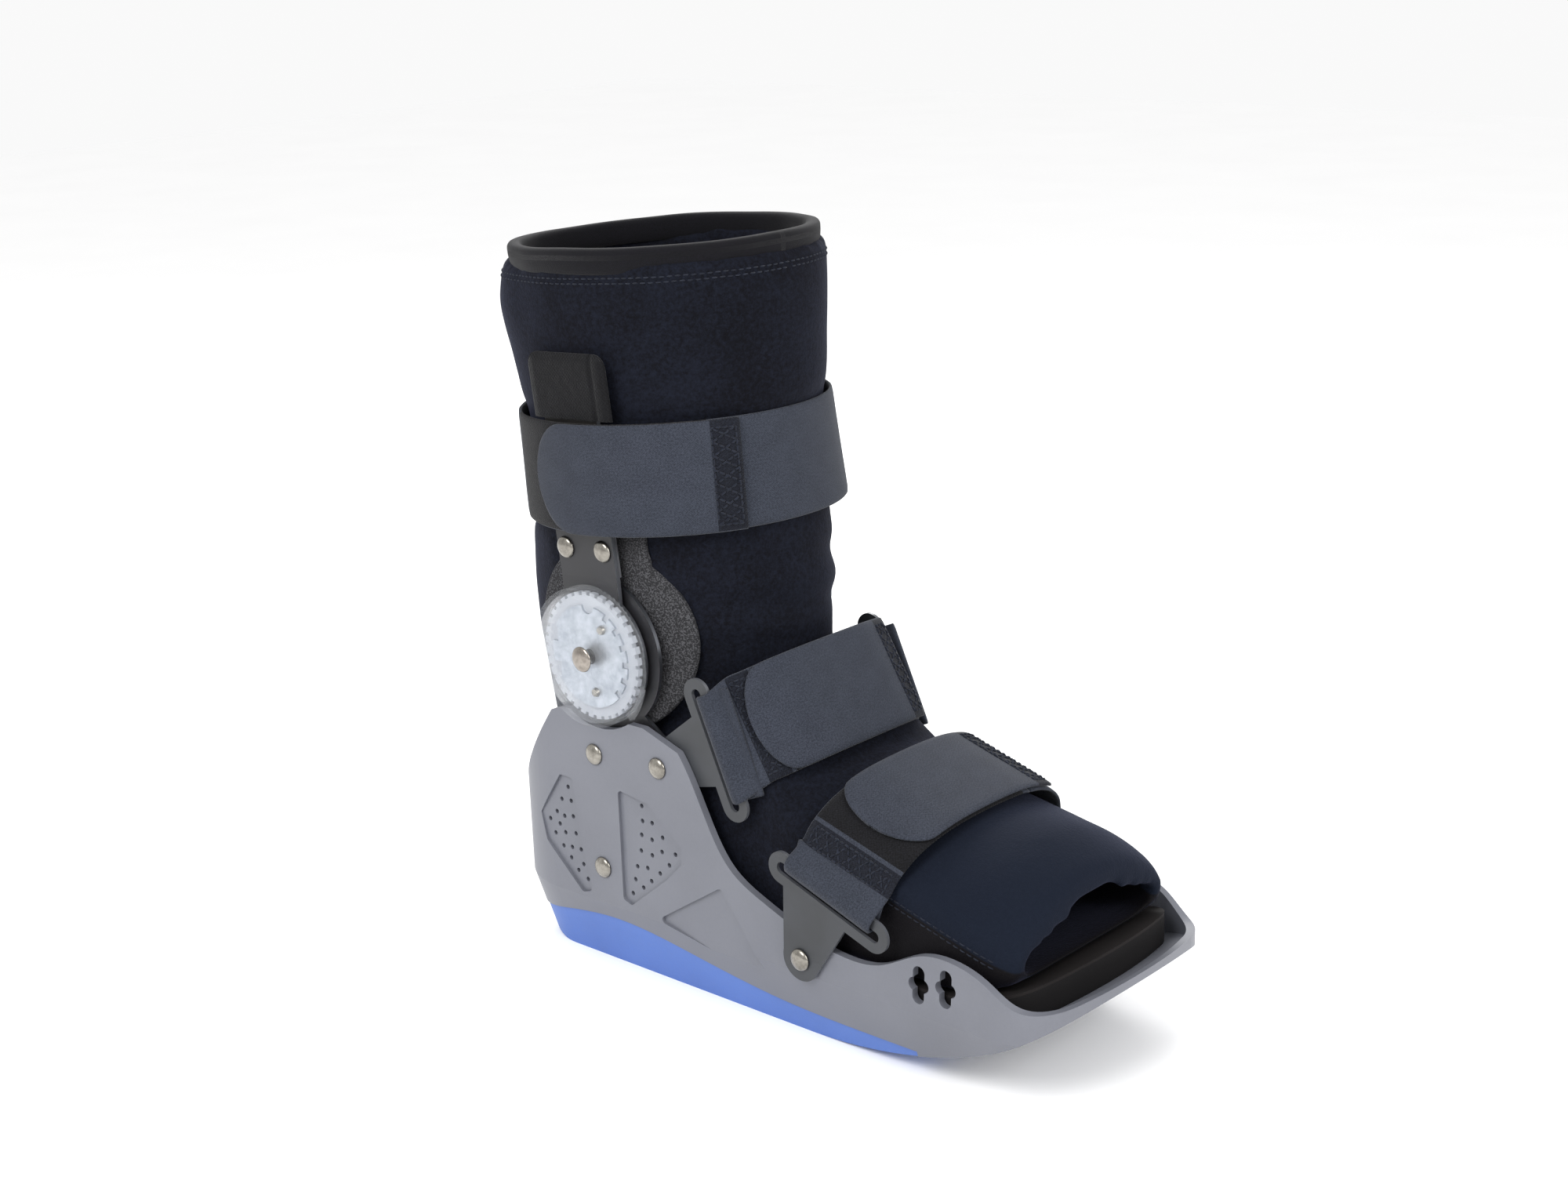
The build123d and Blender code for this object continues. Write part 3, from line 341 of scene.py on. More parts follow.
# %% Napped knit of the liner
def napped(name, colours, nap_scale):
    """A napped fabric: blurred tufts over a fine knit."""
    finish = Finish(name, Sheen_Weight=0.12, Sheen_Roughness=0.4, Specular_IOR_Level=0.1)
    finish.shader.inputs["Sheen Tint"].default_value = shade("#8d93b8")
    where = finish.rest()
    tufts = finish.noise(where, nap_scale, 3.0, 0.7)
    knit = finish.noise(where, nap_scale * 2.6, 2.0, 0.6)
    worn = finish.noise(where, 34.0, 3.0)
    mask = (tufts * 0.55 + knit * 0.25 + worn * 0.3).above(0.56, 0.32)
    colour = finish.mix(mask, colours[0], colours[1])
    return finish, where, colour, tufts, knit


liner_finish, liner_where, liner_navy, liner_tufts, liner_knit = napped(
    "liner_fabric", (shade("#07070c"), shade("#141721")), 620.0
)
across_liner = liner_finish.part(liner_where, 0)
height_liner = liner_finish.part(liner_where, 2)
# Below a seam along each side of the forefoot the liner is a smoother, browner black.
seam_height = SEAM_UP * MM - SEAM_SLOPE * (across_liner - SEAM_FROM * MM)
upper_part = (height_liner - seam_height).above(0.0, 0.0012)
past_ankle = across_liner.above(0.1, 0.004)
side_band = past_ankle * (1 - upper_part)
toe_light = across_liner.above(0.13, 0.06)
toe_navy = liner_finish.mix(toe_light * 0.8, liner_navy, shade("#121824"))
liner_mixed = liner_finish.mix(side_band, toe_navy, shade("#0b090b"))
finishes["liner_fabric"] = liner_finish.set(
    Base_Color=liner_mixed,
    Roughness=0.9 - side_band * 0.2,
    Normal=liner_finish.bump(liner_tufts * 0.6 + liner_knit * 0.4, 0.7, 0.0005),
)


# %% Brushed tape of the straps
def brushed_tape(name, light, dark, thread_mm, nap):
    """Brushed loop tape: crossing threads under a short nap."""
    finish = Finish(name, Sheen_Weight=0.08, Sheen_Roughness=0.45, Specular_IOR_Level=0.15)
    flat = finish.cloth_map()
    along = finish.part(flat, 0)
    cross = finish.part(flat, 1)
    turns = 2 * math.pi / (thread_mm * MM)
    rib_a = finish.node("ShaderNodeMath", {"operation": "SINE"}, {0: along * turns})
    rib_b = finish.node("ShaderNodeMath", {"operation": "SINE"}, {0: cross * turns})
    weave = rib_a * rib_b
    fluff = finish.noise(flat, 1500.0, 3.0, 0.7)
    clouds = finish.noise(flat, 120.0, 3.0)
    tone = (fluff * 0.85 + clouds * 0.15 + weave * 0.05).above(0.5, 0.34)
    return finish.set(
        Base_Color=finish.mix(tone, dark, light),
        Roughness=0.78 + fluff * 0.18,
        Normal=finish.bump(weave * 0.25 + fluff * nap, 0.6, 0.0003),
    )


finishes["webbing"] = brushed_tape("webbing", shade("#373b45"), shade("#24272f"), 0.9, 0.8)
finishes["hook_pile"] = brushed_tape("hook_pile", shade("#17171b"), shade("#050506"), 1.3, 2.4)
finishes["stitched_tape"] = brushed_tape("stitched_tape", shade("#1c1f28"), shade("#0b0c12"), 1.0, 1.6)
finishes["binding_tape"] = brushed_tape("binding_tape", shade("#0f0e14"), shade("#07070a"), 0.7, 0.5)
finishes["loop_fabric"] = brushed_tape("loop_fabric", shade("#101014"), shade("#030304"), 1.5, 2.6)
finishes["thread"] = brushed_tape("thread", shade("#242833"), shade("#161922"), 0.5, 0.4)
print("fabrics ready")

# %% [markdown]
# ## Dressing the CAD solids
# The rigid solids have their true shape, so they stay and only take a finish from their own material slot.

# %% Finishes of the CAD solids
slot_of = {part["node"]: part["material_slot"] for part in frame["record"]["subparts"]}
for name, solid in nodes.items():
    finish = finishes["pivot_brass" if name.startswith("pivot_rivet") else slot_of[name]]
    solid.data.materials.clear()
    solid.data.materials.append(finish)
    for face in solid.data.polygons:
        face.material_index = 0
print("dressed", len(nodes), "solids")

# %% [markdown]
# ## Building meshes
# Every soft piece below is a mesh made in code. One helper turns points and faces into an object and stores
# where each point lies at rest, so a pattern stays on the cloth when a joint moves.


# %% From points to an object
def add_object(name, data):
    """A new object in the scene."""
    thing = bpy.data.objects.new(name, data)
    bpy.context.scene.collection.objects.link(thing)
    return thing


def keep_rest(thing):
    """Store where every point lies at rest."""
    mesh = thing.data
    layer = mesh.attributes.get("rest_place") or mesh.attributes.new("rest_place", "FLOAT_VECTOR", "POINT")
    places = np.empty(len(mesh.vertices) * 3, np.float32)
    mesh.vertices.foreach_get("co", places)
    layer.data.foreach_set("vector", places)


def apply_all(thing):
    """Replace the mesh by what its modifiers make of it."""
    graph = bpy.context.evaluated_depsgraph_get()
    graph.update()
    done = thing.evaluated_get(graph)
    fresh = bpy.data.meshes.new_from_object(done, preserve_all_data_layers=True, depsgraph=graph)
    thing.modifiers.clear()
    thing.data = fresh


def fix_normals(thing):
    """Turn every face outwards."""
    form = bmesh.new()
    form.from_mesh(thing.data)
    bmesh.ops.recalc_face_normals(form, faces=form.faces)
    form.to_mesh(thing.data)
    form.free()


def build(name, points, faces, finish, cloth=None, face_finish=None):
    """An object from points in metres, with its finish and its resting places stored."""
    mesh = bpy.data.meshes.new(name)
    mesh.from_pydata([tuple(p) for p in points], [], faces)
    thing = add_object(name, mesh)
    for each in finish if isinstance(finish, (list, tuple)) else [finish]:
        mesh.materials.append(finishes[each])
    if cloth is not None:
        layer = mesh.uv_layers.new(name="cloth")
        for loop in mesh.loops:
            layer.data[loop.index].uv = cloth[loop.vertex_index]
    if face_finish is not None:
        mesh.polygons.foreach_set("material_index", face_finish)
    mesh.polygons.foreach_set("use_smooth", [True] * len(mesh.polygons))
    fix_normals(thing)
    keep_rest(thing)
    return thing


# %% [markdown]
# ## The padded liner
# The liner is one sewn boot of foam-backed fabric. The CAD model parts it at the ankle so that the joint can
# turn, and here the three parts become one skin again. Copies of them are pushed together, merged by a voxel
# remesh, and blown up slightly by a cloth simulation, which gives the fabric its soft swelling. Where straps,
# pads or the shell press on it, the cloth is held, so it swells between them as stuffed fabric does.

# %% One skin from three solids
VOXEL = 3.2 * MM
liner_form = bmesh.new()
for name in ("liner_foot", "liner_ankle", "liner_cuff"):
    liner_form.from_mesh(nodes[name].data)
# The middle part's cut faces move past the gaps, so that the parts overlap.
ankle_cut = (REAR_CROWN * MM, Vector((-0.2598, 0, 0.9657)))
cuff_cut = (leg_at(0, 0, 41), UP)
for point in liner_form.verts:
    low = (point.co - ankle_cut[0]).dot(ankle_cut[1])
    high = (point.co - cuff_cut[0]).dot(cuff_cut[1])
    if 0.3 * MM < low < 0.7 * MM:
        point.co -= ankle_cut[1] * 2.5 * MM
    elif -0.7 * MM < high < -0.3 * MM:
        point.co += cuff_cut[1] * 2.5 * MM
liner_mesh = bpy.data.meshes.new("boot_liner")
liner_form.to_mesh(liner_mesh)
liner_form.free()
liner = add_object("boot_liner", liner_mesh)
remesh = liner.modifiers.new("skin", "REMESH")
remesh.mode = "VOXEL"
remesh.voxel_size = VOXEL
soften = liner.modifiers.new("soften", "SMOOTH")
soften.factor = 0.5
soften.iterations = 4
apply_all(liner)
print("liner skin", len(liner.data.vertices), "points")


# %% [markdown]
# The toe edge of the wrap slants back at the sides, and the cuff leans out a little over the calf strap. A
# few broad folds run round the ankle in front, where the fabric bunches over the instep.


# %% Broad shape of the liner
def leg_coordinates(place):
    """How far forward, across and up along the leg a place lies from the ankle, in millimetres."""
    d = (place - ANKLE) / MM
    return d.dot(FORWARD), d.y, d.dot(UP)


def toe_height(x, y):
    """How high the outside of the forefoot lies, in millimetres."""
    front = smooth(150, 190, x)
    side, top = 62 - 10 * front, 82 - 11 * front
    return side + (top - side) * math.sqrt(max(1 - (y / 47.5) ** 2, 0))


def shaped(place):
    """Where a point of the liner goes when the fabric settles into its broad shape."""
    x, y, z = place / MM
    forward, _, up = leg_coordinates(place)
    out = Vector((forward - 1.4, y, 0))
    move = Vector((0, 0, 0))
    if x > 160 and up < 0:
        slant = smooth(160, 190, x) * (1 - smooth(44, 66, z))
        move.x -= 1.5 * slant
    if x > 120 and z > 45:
        full = smooth(120, 180, x)
        move.x += 5.0 * smooth(170, 190, x)
        move.z += 3.0 * full * smooth(45, 62, z)
        # The padding over the toes is thicker inside, so the mouth is low.
        depth = toe_height(x, y) - z
        move.z -= 8.0 * smooth(1.5, 6, depth) * smooth(155, 188, x) * smooth(51, 66, z)
    if up > 5 and out.length > 1:
        way = FORWARD * out.x + ACROSS * out.y
        way.normalize()
        front = smooth(10, 55, forward)
        fold = 1.1 * math.sin(up * 0.33 + y * 0.05) * front * smooth(4, 12, up) * (1 - smooth(30, 42, up))
        sag = 0.9 * noise.noise(Vector((x, y, z)) * 0.028) * smooth(92, 104, up)
        crown = 1.9 * smooth(112, 136, up) * (1 - smooth(144, 153, up)) * smooth(20, 40, abs(forward))
        move += way * (fold + sag + crown)
    return place + move * MM


for point in liner.data.vertices:
    point.co = shaped(point.co)
toe_rim = liner.vertex_groups.new(name="toe_rim")
for point in liner.data.vertices:
    toe_rim.add([point.index], smooth(160, 184, point.co.x / MM), "REPLACE")
even = liner.modifiers.new("even", "SMOOTH")
even.factor = 0.5
even.iterations = 14
even.vertex_group = "toe_rim"
apply_all(liner)
print("toe rim evened")


# %% Where the liner is held
def held(place):
    """How firmly a point of the liner is held: 1 under straps, pads and shell, 0 where it is free."""
    x, y, z = place / MM
    forward, across, up = leg_coordinates(place)
    under_strap = smooth(45, 48, up) * (1 - smooth(91, 95, up))
    beside_hinge = smooth(36, 40, abs(y)) * (1 - smooth(40, 46, abs(forward - 3))) * (1 - smooth(50, 55, up))
    beside_hinge *= smooth(-34, -28, up)
    beside_bar = smooth(40, 46, abs(y)) * (1 - smooth(20, 28, abs(forward))) * (1 - smooth(120, 126, up))
    beside_bar *= smooth(40, 44, up)
    in_shell = 1 - smooth(62, 74, z) if x < 20 else 1 - smooth(44, 56, z)
    in_shell = max(in_shell, smooth(40, 46, abs(y)) * (1 - smooth(88, 104, z)))
    rear = (place / MM - REAR_CROWN).dot(REAR_ALONG)
    front = (place / MM - FRONT_CROWN).dot(FRONT_ALONG)
    under_rear = smooth(-3, 0, rear) * (1 - smooth(42, 46, rear)) * smooth(40, 50, x) * smooth(86, 94, z)
    under_front = smooth(-3, 0, front) * (1 - smooth(42, 46, front)) * smooth(60, 64, z)
    rim = max(smooth(146, 148.5, up), smooth(172, 182, x))
    return max(under_strap, beside_hinge, beside_bar, in_shell, under_rear, under_front, rim)


hold = liner.vertex_groups.new(name="held")
for point in liner.data.vertices:
    hold.add([point.index], held(point.co), "REPLACE")
print("liner is held at", sum(1 for p in liner.data.vertices if held(p.co) > 0.5), "points")


# %% Swelling the cloth
def swell(thing, pressure, frames, cap, group=None):
    """Blow a padded piece up with a short cloth simulation, and cap how far any point moves."""
    start = np.array([p.co[:] for p in thing.data.vertices])
    cloth = thing.modifiers.new("swell", "CLOTH")
    cloth.settings.use_pressure = True
    cloth.settings.uniform_pressure_force = pressure
    cloth.settings.effector_weights.gravity = 0
    cloth.settings.tension_stiffness = 18
    cloth.settings.compression_stiffness = 10
    cloth.settings.bending_stiffness = 0.6
    cloth.settings.mass = 0.35
    cloth.settings.quality = 5
    if group:
        cloth.settings.vertex_group_mass = group
    cloth.point_cache.frame_start = 1
    cloth.point_cache.frame_end = frames
    scene = bpy.context.scene
    for number in range(1, frames + 1):
        scene.frame_set(number)
    apply_all(thing)
    scene.frame_set(1)
    end = np.array([p.co[:] for p in thing.data.vertices])
    move = end - start
    reach = np.linalg.norm(move, axis=1, keepdims=True)
    move *= np.minimum(1, cap / np.maximum(reach, 1e-9))
    for point, place in zip(thing.data.vertices, start + move):
        point.co = place
    return float(reach.max())


print("liner moved at most", round(swell(liner, 4.0, 20, 2.6 * MM, "held") / MM, 2), "mm before the cap")
detail = liner.modifiers.new("detail", "SUBSURF")
detail.levels = 1
detail.render_levels = 1
apply_all(liner)
liner.data.materials.clear()
liner.data.materials.append(finishes["liner_fabric"])
liner.data.polygons.foreach_set("use_smooth", [True] * len(liner.data.polygons))
liner.data.polygons.foreach_set("material_index", [0] * len(liner.data.polygons))
keep_rest(liner)
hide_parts("liner_foot", "liner_ankle", "liner_cuff")
liner_tree = BVHTree.FromObject(liner, bpy.context.evaluated_depsgraph_get())
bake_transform(liner)
print("liner has", len(liner.data.polygons), "faces")

# %% [markdown]
# ## Ribbons
# Straps, tape and bindings are all ribbons: a path, a width and a thickness. One class holds the path of both
# edges and answers where a place on it is, so a strap, the patch on it and its stitches agree.


# %% A ribbon that can be asked for any place on it
class Ribbon:
    """A strip between two edges. Places on it are along, across and out, in millimetres."""

    def __init__(self, pairs, outside, closed=False, steps=10):
        low = self.curve([a for a, _ in pairs], closed, steps)
        high = self.curve([b for _, b in pairs], closed, steps)
        self.low, self.high = low, high
        self.middle = [(a + b) / 2 for a, b in zip(low, high)]
        self.length = [0.0]
        for a, b in zip(self.middle, self.middle[1:]):
            self.length.append(self.length[-1] + (b - a).length / MM)
        self.normals = []
        for i in range(len(low)):
            if closed:
                before, after = self.middle[(i - 1) % (len(low) - 1)], self.middle[(i + 1) % (len(low) - 1)]
            else:
                before, after = self.middle[max(i - 1, 0)], self.middle[min(i + 1, len(low) - 1)]
            normal = (after - before).cross(high[i] - low[i])
            normal.normalize()
            self.normals.append(normal)
        probe = len(low) // 2
        if self.normals[probe].dot(outside(self.middle[probe])) < 0:
            self.normals = [-n for n in self.normals]

    @staticmethod
    def curve(points, closed, steps):
        """A smooth curve through points."""
        result = []
        count = len(points)
        for i in range(count if closed else count - 1):
            if closed:
                p = [points[(i + k) % count] for k in (-1, 0, 1, 2)]
            else:
                p = [points[min(max(i + k, 0), count - 1)] for k in (-1, 0, 1, 2)]
            for step in range(steps):
                t = step / steps
                result.append(
                    0.5
                    * (
                        2 * p[1]
                        + (p[2] - p[0]) * t
                        + (2 * p[0] - 5 * p[1] + 4 * p[2] - p[3]) * t * t
                        + (3 * p[1] - p[0] - 3 * p[2] + p[3]) * t**3
                    )
                )
        result.append(points[0] if closed else points[-1])
        return result

    @property
    def total(self):
        return self.length[-1]

    def place(self, along, across, out):
        """A place: along the ribbon in mm, across it from 0 to 1, and out from its inner face in mm."""
        along = min(max(along, 0), self.total)
        low, high = 0, len(self.length) - 1
        while high - low > 1:
            mid = (low + high) // 2
            if self.length[mid] <= along:
                low = mid
            else:
                high = mid
        run = self.length[high] - self.length[low]
        t = 0 if run == 0 else (along - self.length[low]) / run
        a = self.low[low].lerp(self.low[high], t)
        b = self.high[low].lerp(self.high[high], t)
        n = self.normals[low].lerp(self.normals[high], t).normalized()
        return a.lerp(b, across) + n * out * MM

    def nearest(self, place):
        """How far along the ribbon its middle comes nearest to a place."""
        best = min(range(len(self.middle)), key=lambda i: (self.middle[i] - place).length)
        return self.length[best]


# %% [markdown]
# Woven tape is never a perfect sheet of metal: its edges are rounded, it cups a little and ripples. The band
# helper builds a closed solid with rounded edges and adds a small ripple from noise.


# %% Making a band of tape
TAPE_W = 42.0


def band(name, ribbon, start, end, out, thickness, finish, tip=0.0, ripple=0.15, zones=()):
    """A strip of tape from start to end along a ribbon, its inner face this far out.

    The tip is the length of its rounded start. Each zone along it takes the next finish in the list.
    """
    count = max(int(abs(end - start) / 1.5), 4)
    rows = 16
    stations = [start + (end - start) * i / count for i in range(count + 1)]
    if tip:
        near = [start + tip * (1 - math.cos(math.pi / 2 * i / 12)) for i in range(12)]
        stations = near + [s for s in stations if s > start + tip]
    shift = hash_of(name)
    points, cloth, rings = [], [], []
    for s in stations:
        low, high = 0.0, 1.0
        if tip and s < start + tip:
            reach = math.sqrt(max(1 - ((start + tip - s) / tip) ** 2, 0.0009))
            middle = (low + high) / 2
            low, high = middle - (middle - low) * reach, middle + (high - middle) * reach
        round_off = 0.35 * thickness / TAPE_W
        section = []
        for k in range(rows + 1):
            v = low + (high - low) * k / rows
            inset = round_off if k == 0 else -round_off if k == rows else 0
            section.append((v + inset, 0.0 if 0 < k < rows else 0.12 * thickness))
        section.append((high, thickness * 0.5))
        for k in range(rows, -1, -1):
            v = low + (high - low) * k / rows
            inset = round_off if k == 0 else -round_off if k == rows else 0
            section.append((v + inset, thickness if 0 < k < rows else 0.88 * thickness))
        section.append((low, thickness * 0.5))
        ring = []
        for v, lift in section:
            wave = ripple * noise.noise(Vector((s * 0.05, v * TAPE_W * 0.05, shift)))
            ring.append(len(points))
            points.append(ribbon.place(s, v, out + lift + max(wave, -0.05)))
            cloth.append((s * MM, v * TAPE_W * MM))
        rings.append(ring)
    faces, kinds = [], []
    for i, (a, b) in enumerate(zip(rings, rings[1:])):
        for k in range(len(a)):
            n = (k + 1) % len(a)
            faces.append((a[k], a[n], b[n], b[k]))
            outer = rows + 1 <= k <= 2 * rows + 1
            kind = 0
            for index, (z0, z1) in enumerate(zones):
                if outer and z0 <= stations[i] < z1:
                    kind = index + 1
            kinds.append(kind)
    for ring in (rings[0], rings[-1]):
        half = len(ring) // 2
        for k in range(half - 1):
            a, b = ring[k], ring[k + 1]
            c, d = ring[(len(ring) - 3 - k) % len(ring)], ring[(len(ring) - 2 - k) % len(ring)]
            quad = tuple(dict.fromkeys((a, b, c, d)))
            if len(quad) >= 3:
                faces.append(quad)
                kinds.append(0)
    thing = build(name, points, faces, finish, cloth, kinds)
    return thing


def hash_of(name):
    """A number that is the same in every run, to vary one piece from the next."""
    return sum((i + 1) * ord(c) for i, c in enumerate(name)) % 97 * 1.37


# %% [markdown]
# ## Stitches
# A row of stitches is a row of short rounded threads whose ends dive into the cloth. They are one mesh per
# row, made of small six-sided beads.


# %% Threads laid along lines on a ribbon
def threads(name, lines, radius, stitch, gap, body, finish="thread"):
    """Short threads along each line of places in metres."""
    points, faces, cloth = [], [], []
    for line in lines:
        lengths = [0.0]
        for a, b in zip(line, line[1:]):
            lengths.append(lengths[-1] + (b[0] - a[0]).length / MM)
        at_length = 0.0
        while at_length + stitch <= lengths[-1]:
            ends = []
            for t in (0.0, 0.25, 0.5, 0.75, 1.0):
                s = at_length + stitch * t
                i = max(k for k in range(len(lengths)) if lengths[k] <= s + 1e-9)
                i = min(i, len(line) - 2)
                run = lengths[i + 1] - lengths[i]
                f = 0 if run == 0 else (s - lengths[i]) / run
                lift = math.sin(math.pi * t) * 0.8 - 0.35
                normal = line[i][1].lerp(line[i + 1][1], f).normalized()
                ends.append((line[i][0].lerp(line[i + 1][0], f) + normal * lift * radius * MM, normal, t))
            way = (ends[-1][0] - ends[0][0]).normalized()
            rings = []
            for place, normal, t in ends:
                side = way.cross(normal).normalized()
                thick = radius * (0.55 + 0.45 * math.sin(math.pi * min(max(t, 0.08), 0.92))) * MM
                ring = []
                for k in range(6):
                    angle = math.pi / 3 * k
                    ring.append(len(points))
                    points.append(place + (side * math.cos(angle) + normal * math.sin(angle)) * thick)
                    cloth.append((at_length * MM, k * 0.0002))
                rings.append(ring)
            for a, b in zip(rings, rings[1:]):
                for k in range(6):
                    faces.append((a[k], a[(k + 1) % 6], b[(k + 1) % 6], b[k]))
            faces.append(tuple(rings[0]))
            faces.append(tuple(rings[-1]))
            at_length += stitch + gap
    thing = build(name, points, faces, finish, cloth)
    if body:
        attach(thing, body)
    return thing


def on_ribbon(ribbon, track, out):
    """Places and outward directions of a track of (along, across) on a ribbon."""
    result = []
    for (s0, v0), (s1, v1) in zip(track, track[1:]):
        for i in range(6):
            t = i / 6
            s, v = s0 + (s1 - s0) * t, v0 + (v1 - v0) * t
            low = ribbon.place(s, v, out)
            result.append((low, (ribbon.place(s, v, out + 1) - low).normalized()))
    s, v = track[-1]
    low = ribbon.place(s, v, out)
    result.append((low, (ribbon.place(s, v, out + 1) - low).normalized()))
    return result


def box_stitch(ribbon, start, end, out, margin=0.07):
    """A sewn box with a zigzag in it: the tracks of its threads."""
    low, high = margin, 1 - margin
    a, b = start + 1.2, end - 1.2
    outline = [(a, low), (b, low), (b, high), (a, high), (a, low)]
    turns = 7
    zigzag = [(a if i % 2 else b, low + (high - low) * i / turns) for i in range(turns + 1)]
    other = [(b if i % 2 else a, low + (high - low) * i / turns) for i in range(turns + 1)]
    return [on_ribbon(ribbon, track, out) for track in (outline, zigzag, other)]


# %% [markdown]
# ## The calf strap
# A band goes right round the leg over the uprights. A second layer is sewn to it in front and wraps round the
# right side to a rounded end. The free edge of the real strap stands off the leg at the front left, and the
# end of the second layer lets a strip of the dark pile under it show.

# %% The calf strap's path
STRAP_LOW, STRAP_HIGH = 48.5, 90.5
CALF_CENTRE, CALF_LONG, CALF_WIDE = 1.4, 61.3, 56.9


def calf_pair(angle, flare=0.0):
    """The lower and upper edge of the calf strap in a direction seen from above, in degrees."""
    a = math.radians(angle)
    far = (CALF_CENTRE + (CALF_LONG + flare) * math.cos(a), (CALF_WIDE + flare) * math.sin(a))
    near = (CALF_CENTRE + CALF_LONG * math.cos(a), CALF_WIDE * math.sin(a))
    return leg_at(far[0], far[1], STRAP_LOW), leg_at(near[0], near[1], STRAP_HIGH)


def stand_off(angle):
    """How far the lower edge stands off in front."""
    return 3.2 * math.exp(-(((angle - 38) / 34) ** 2))


leg_middle = leg_at(CALF_CENTRE, 0, (STRAP_LOW + STRAP_HIGH) / 2)
calf_angles = [-150 + 6 * i for i in range(60)]
calf_path = Ribbon(
    [calf_pair(a, stand_off(a)) for a in calf_angles], lambda p: p - leg_middle, closed=True, steps=4
)
WEB_T = 1.6
calf_place = {
    angle: calf_path.nearest((sum(calf_pair(angle), Vector())) / 2) for angle in (-136, -109, -26, -34)
}
calf_band = band(
    "calf_band_tape",
    calf_path,
    0,
    calf_path.total,
    0,
    WEB_T,
    ["webbing", "hook_pile"],
    zones=[(calf_path.nearest(calf_pair(-127)[0].lerp(calf_pair(-127)[1], 0.5)), calf_place[-26] - 12)],
)
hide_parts("calf_band")
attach(calf_band, "leg")
flap_tip = calf_path.nearest(calf_pair(-107)[0].lerp(calf_pair(-107)[1], 0.5))
flap_root = calf_place[-26]
calf_flap = band(
    "calf_flap_tape",
    calf_path,
    flap_tip,
    flap_root,
    WEB_T + 0.3,
    WEB_T,
    ["webbing", "stitched_tape"],
    tip=17.0,
    zones=[(flap_root - 11.0, flap_root + 1)],
)
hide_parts("calf_flap")
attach(calf_flap, "calf_flap")
threads(
    "calf_flap_stitches",
    box_stitch(calf_path, flap_root - 11.5, flap_root - 0.4, 2 * WEB_T + 0.42),
    0.42,
    2.1,
    0.45,
    "calf_flap",
)
print("calf strap is", round(calf_path.total), "mm round")

# %% [markdown]
# ## The foot straps
# Each foot strap has a base layer on either side. It comes from the foot's top, turns round the outer bar of
# the strap anchor and folds back on itself. A closing layer lies over it, sewn down on the left and pressed
# shut on the right.


# %% Paths of the foot straps
class FootStrap:
    """The path of one foot strap: an arch over the foot between its two anchors."""

    def __init__(self, name, crown, along, half_arch, slot, out):
        self.name = name
        self.crown = crown
        self.along = along.normalized()
        self.normal = Vector((-self.along.z, 0, self.along.x))
        self.half_arch = half_arch
        a, b = (Vector((x, 0, z)) for x, z in slot)
        run = (b - a).normalized()
        outward = Vector((-run.z, 0, run.x))
        middle = (a + b) / 2 + outward * 4.25
        self.loop_ends = (middle - run * TAPE_W / 2, middle + run * TAPE_W / 2)
        self.outward = outward
        self.bar = out

    def arch_pair(self, u, v):
        """Both edges at a place across the foot, u left of the crown and v above it."""
        base = self.crown + self.normal * v + Vector((0, u, 0))
        return base * MM, (base + self.along * TAPE_W) * MM

    def loop_pair(self, side, reach, out):
        """Both edges near the anchor: reach from the bar's middle, out from the middle plane."""
        shift = self.outward * reach + Vector((0, side * out, 0))
        return tuple((end + shift) * MM for end in self.loop_ends)

    def path(self, side, reach):
        """The base layer, from its folded end round the bar and over the foot to this far left of the crown."""
        bar = self.bar
        pairs = [
            self.loop_pair(side, 9.0, bar - 1.9),
            self.loop_pair(side, 4.5, bar - 1.75),
            self.loop_pair(side, 0.5, bar - 1.65),
            self.loop_pair(side, -2.6, bar - 0.9),
            self.loop_pair(side, -3.1, bar + 0.2),
            self.loop_pair(side, -2.2, bar + 1.1),
            self.loop_pair(side, 1.2, bar + 1.3),
        ]
        half = self.half_arch
        if side < 0:
            pairs += [self.arch_pair(-u, v) for u, v in reversed(half)]
            pairs += [self.arch_pair(u, v) for u, v in half if 0 < u < reach]
        else:
            pairs += [self.arch_pair(u, v) for u, v in reversed(half) if u > reach]
        return pairs + [self.arch_pair(reach, over_height(half, reach))]


rear = FootStrap(
    "rear",
    REAR_CROWN,
    REAR_ALONG,
    half_arch=[(0, 2.0), (20, 1.2), (33, -2.5), (39, -6.0), (43.5, -10.0)],
    slot=((48.7, 126.5), (68.2, 81.9)),
    out=50.0,
)
front = FootStrap(
    "front",
    FRONT_CROWN,
    FRONT_ALONG,
    half_arch=[(0, 2.5), (20, 1.6), (33, -1.2), (41, -4.8), (47.5, -10.5), (51, -17)],
    slot=((89.5, 70.0), (141.5, 51.6)),
    out=55.0,
)


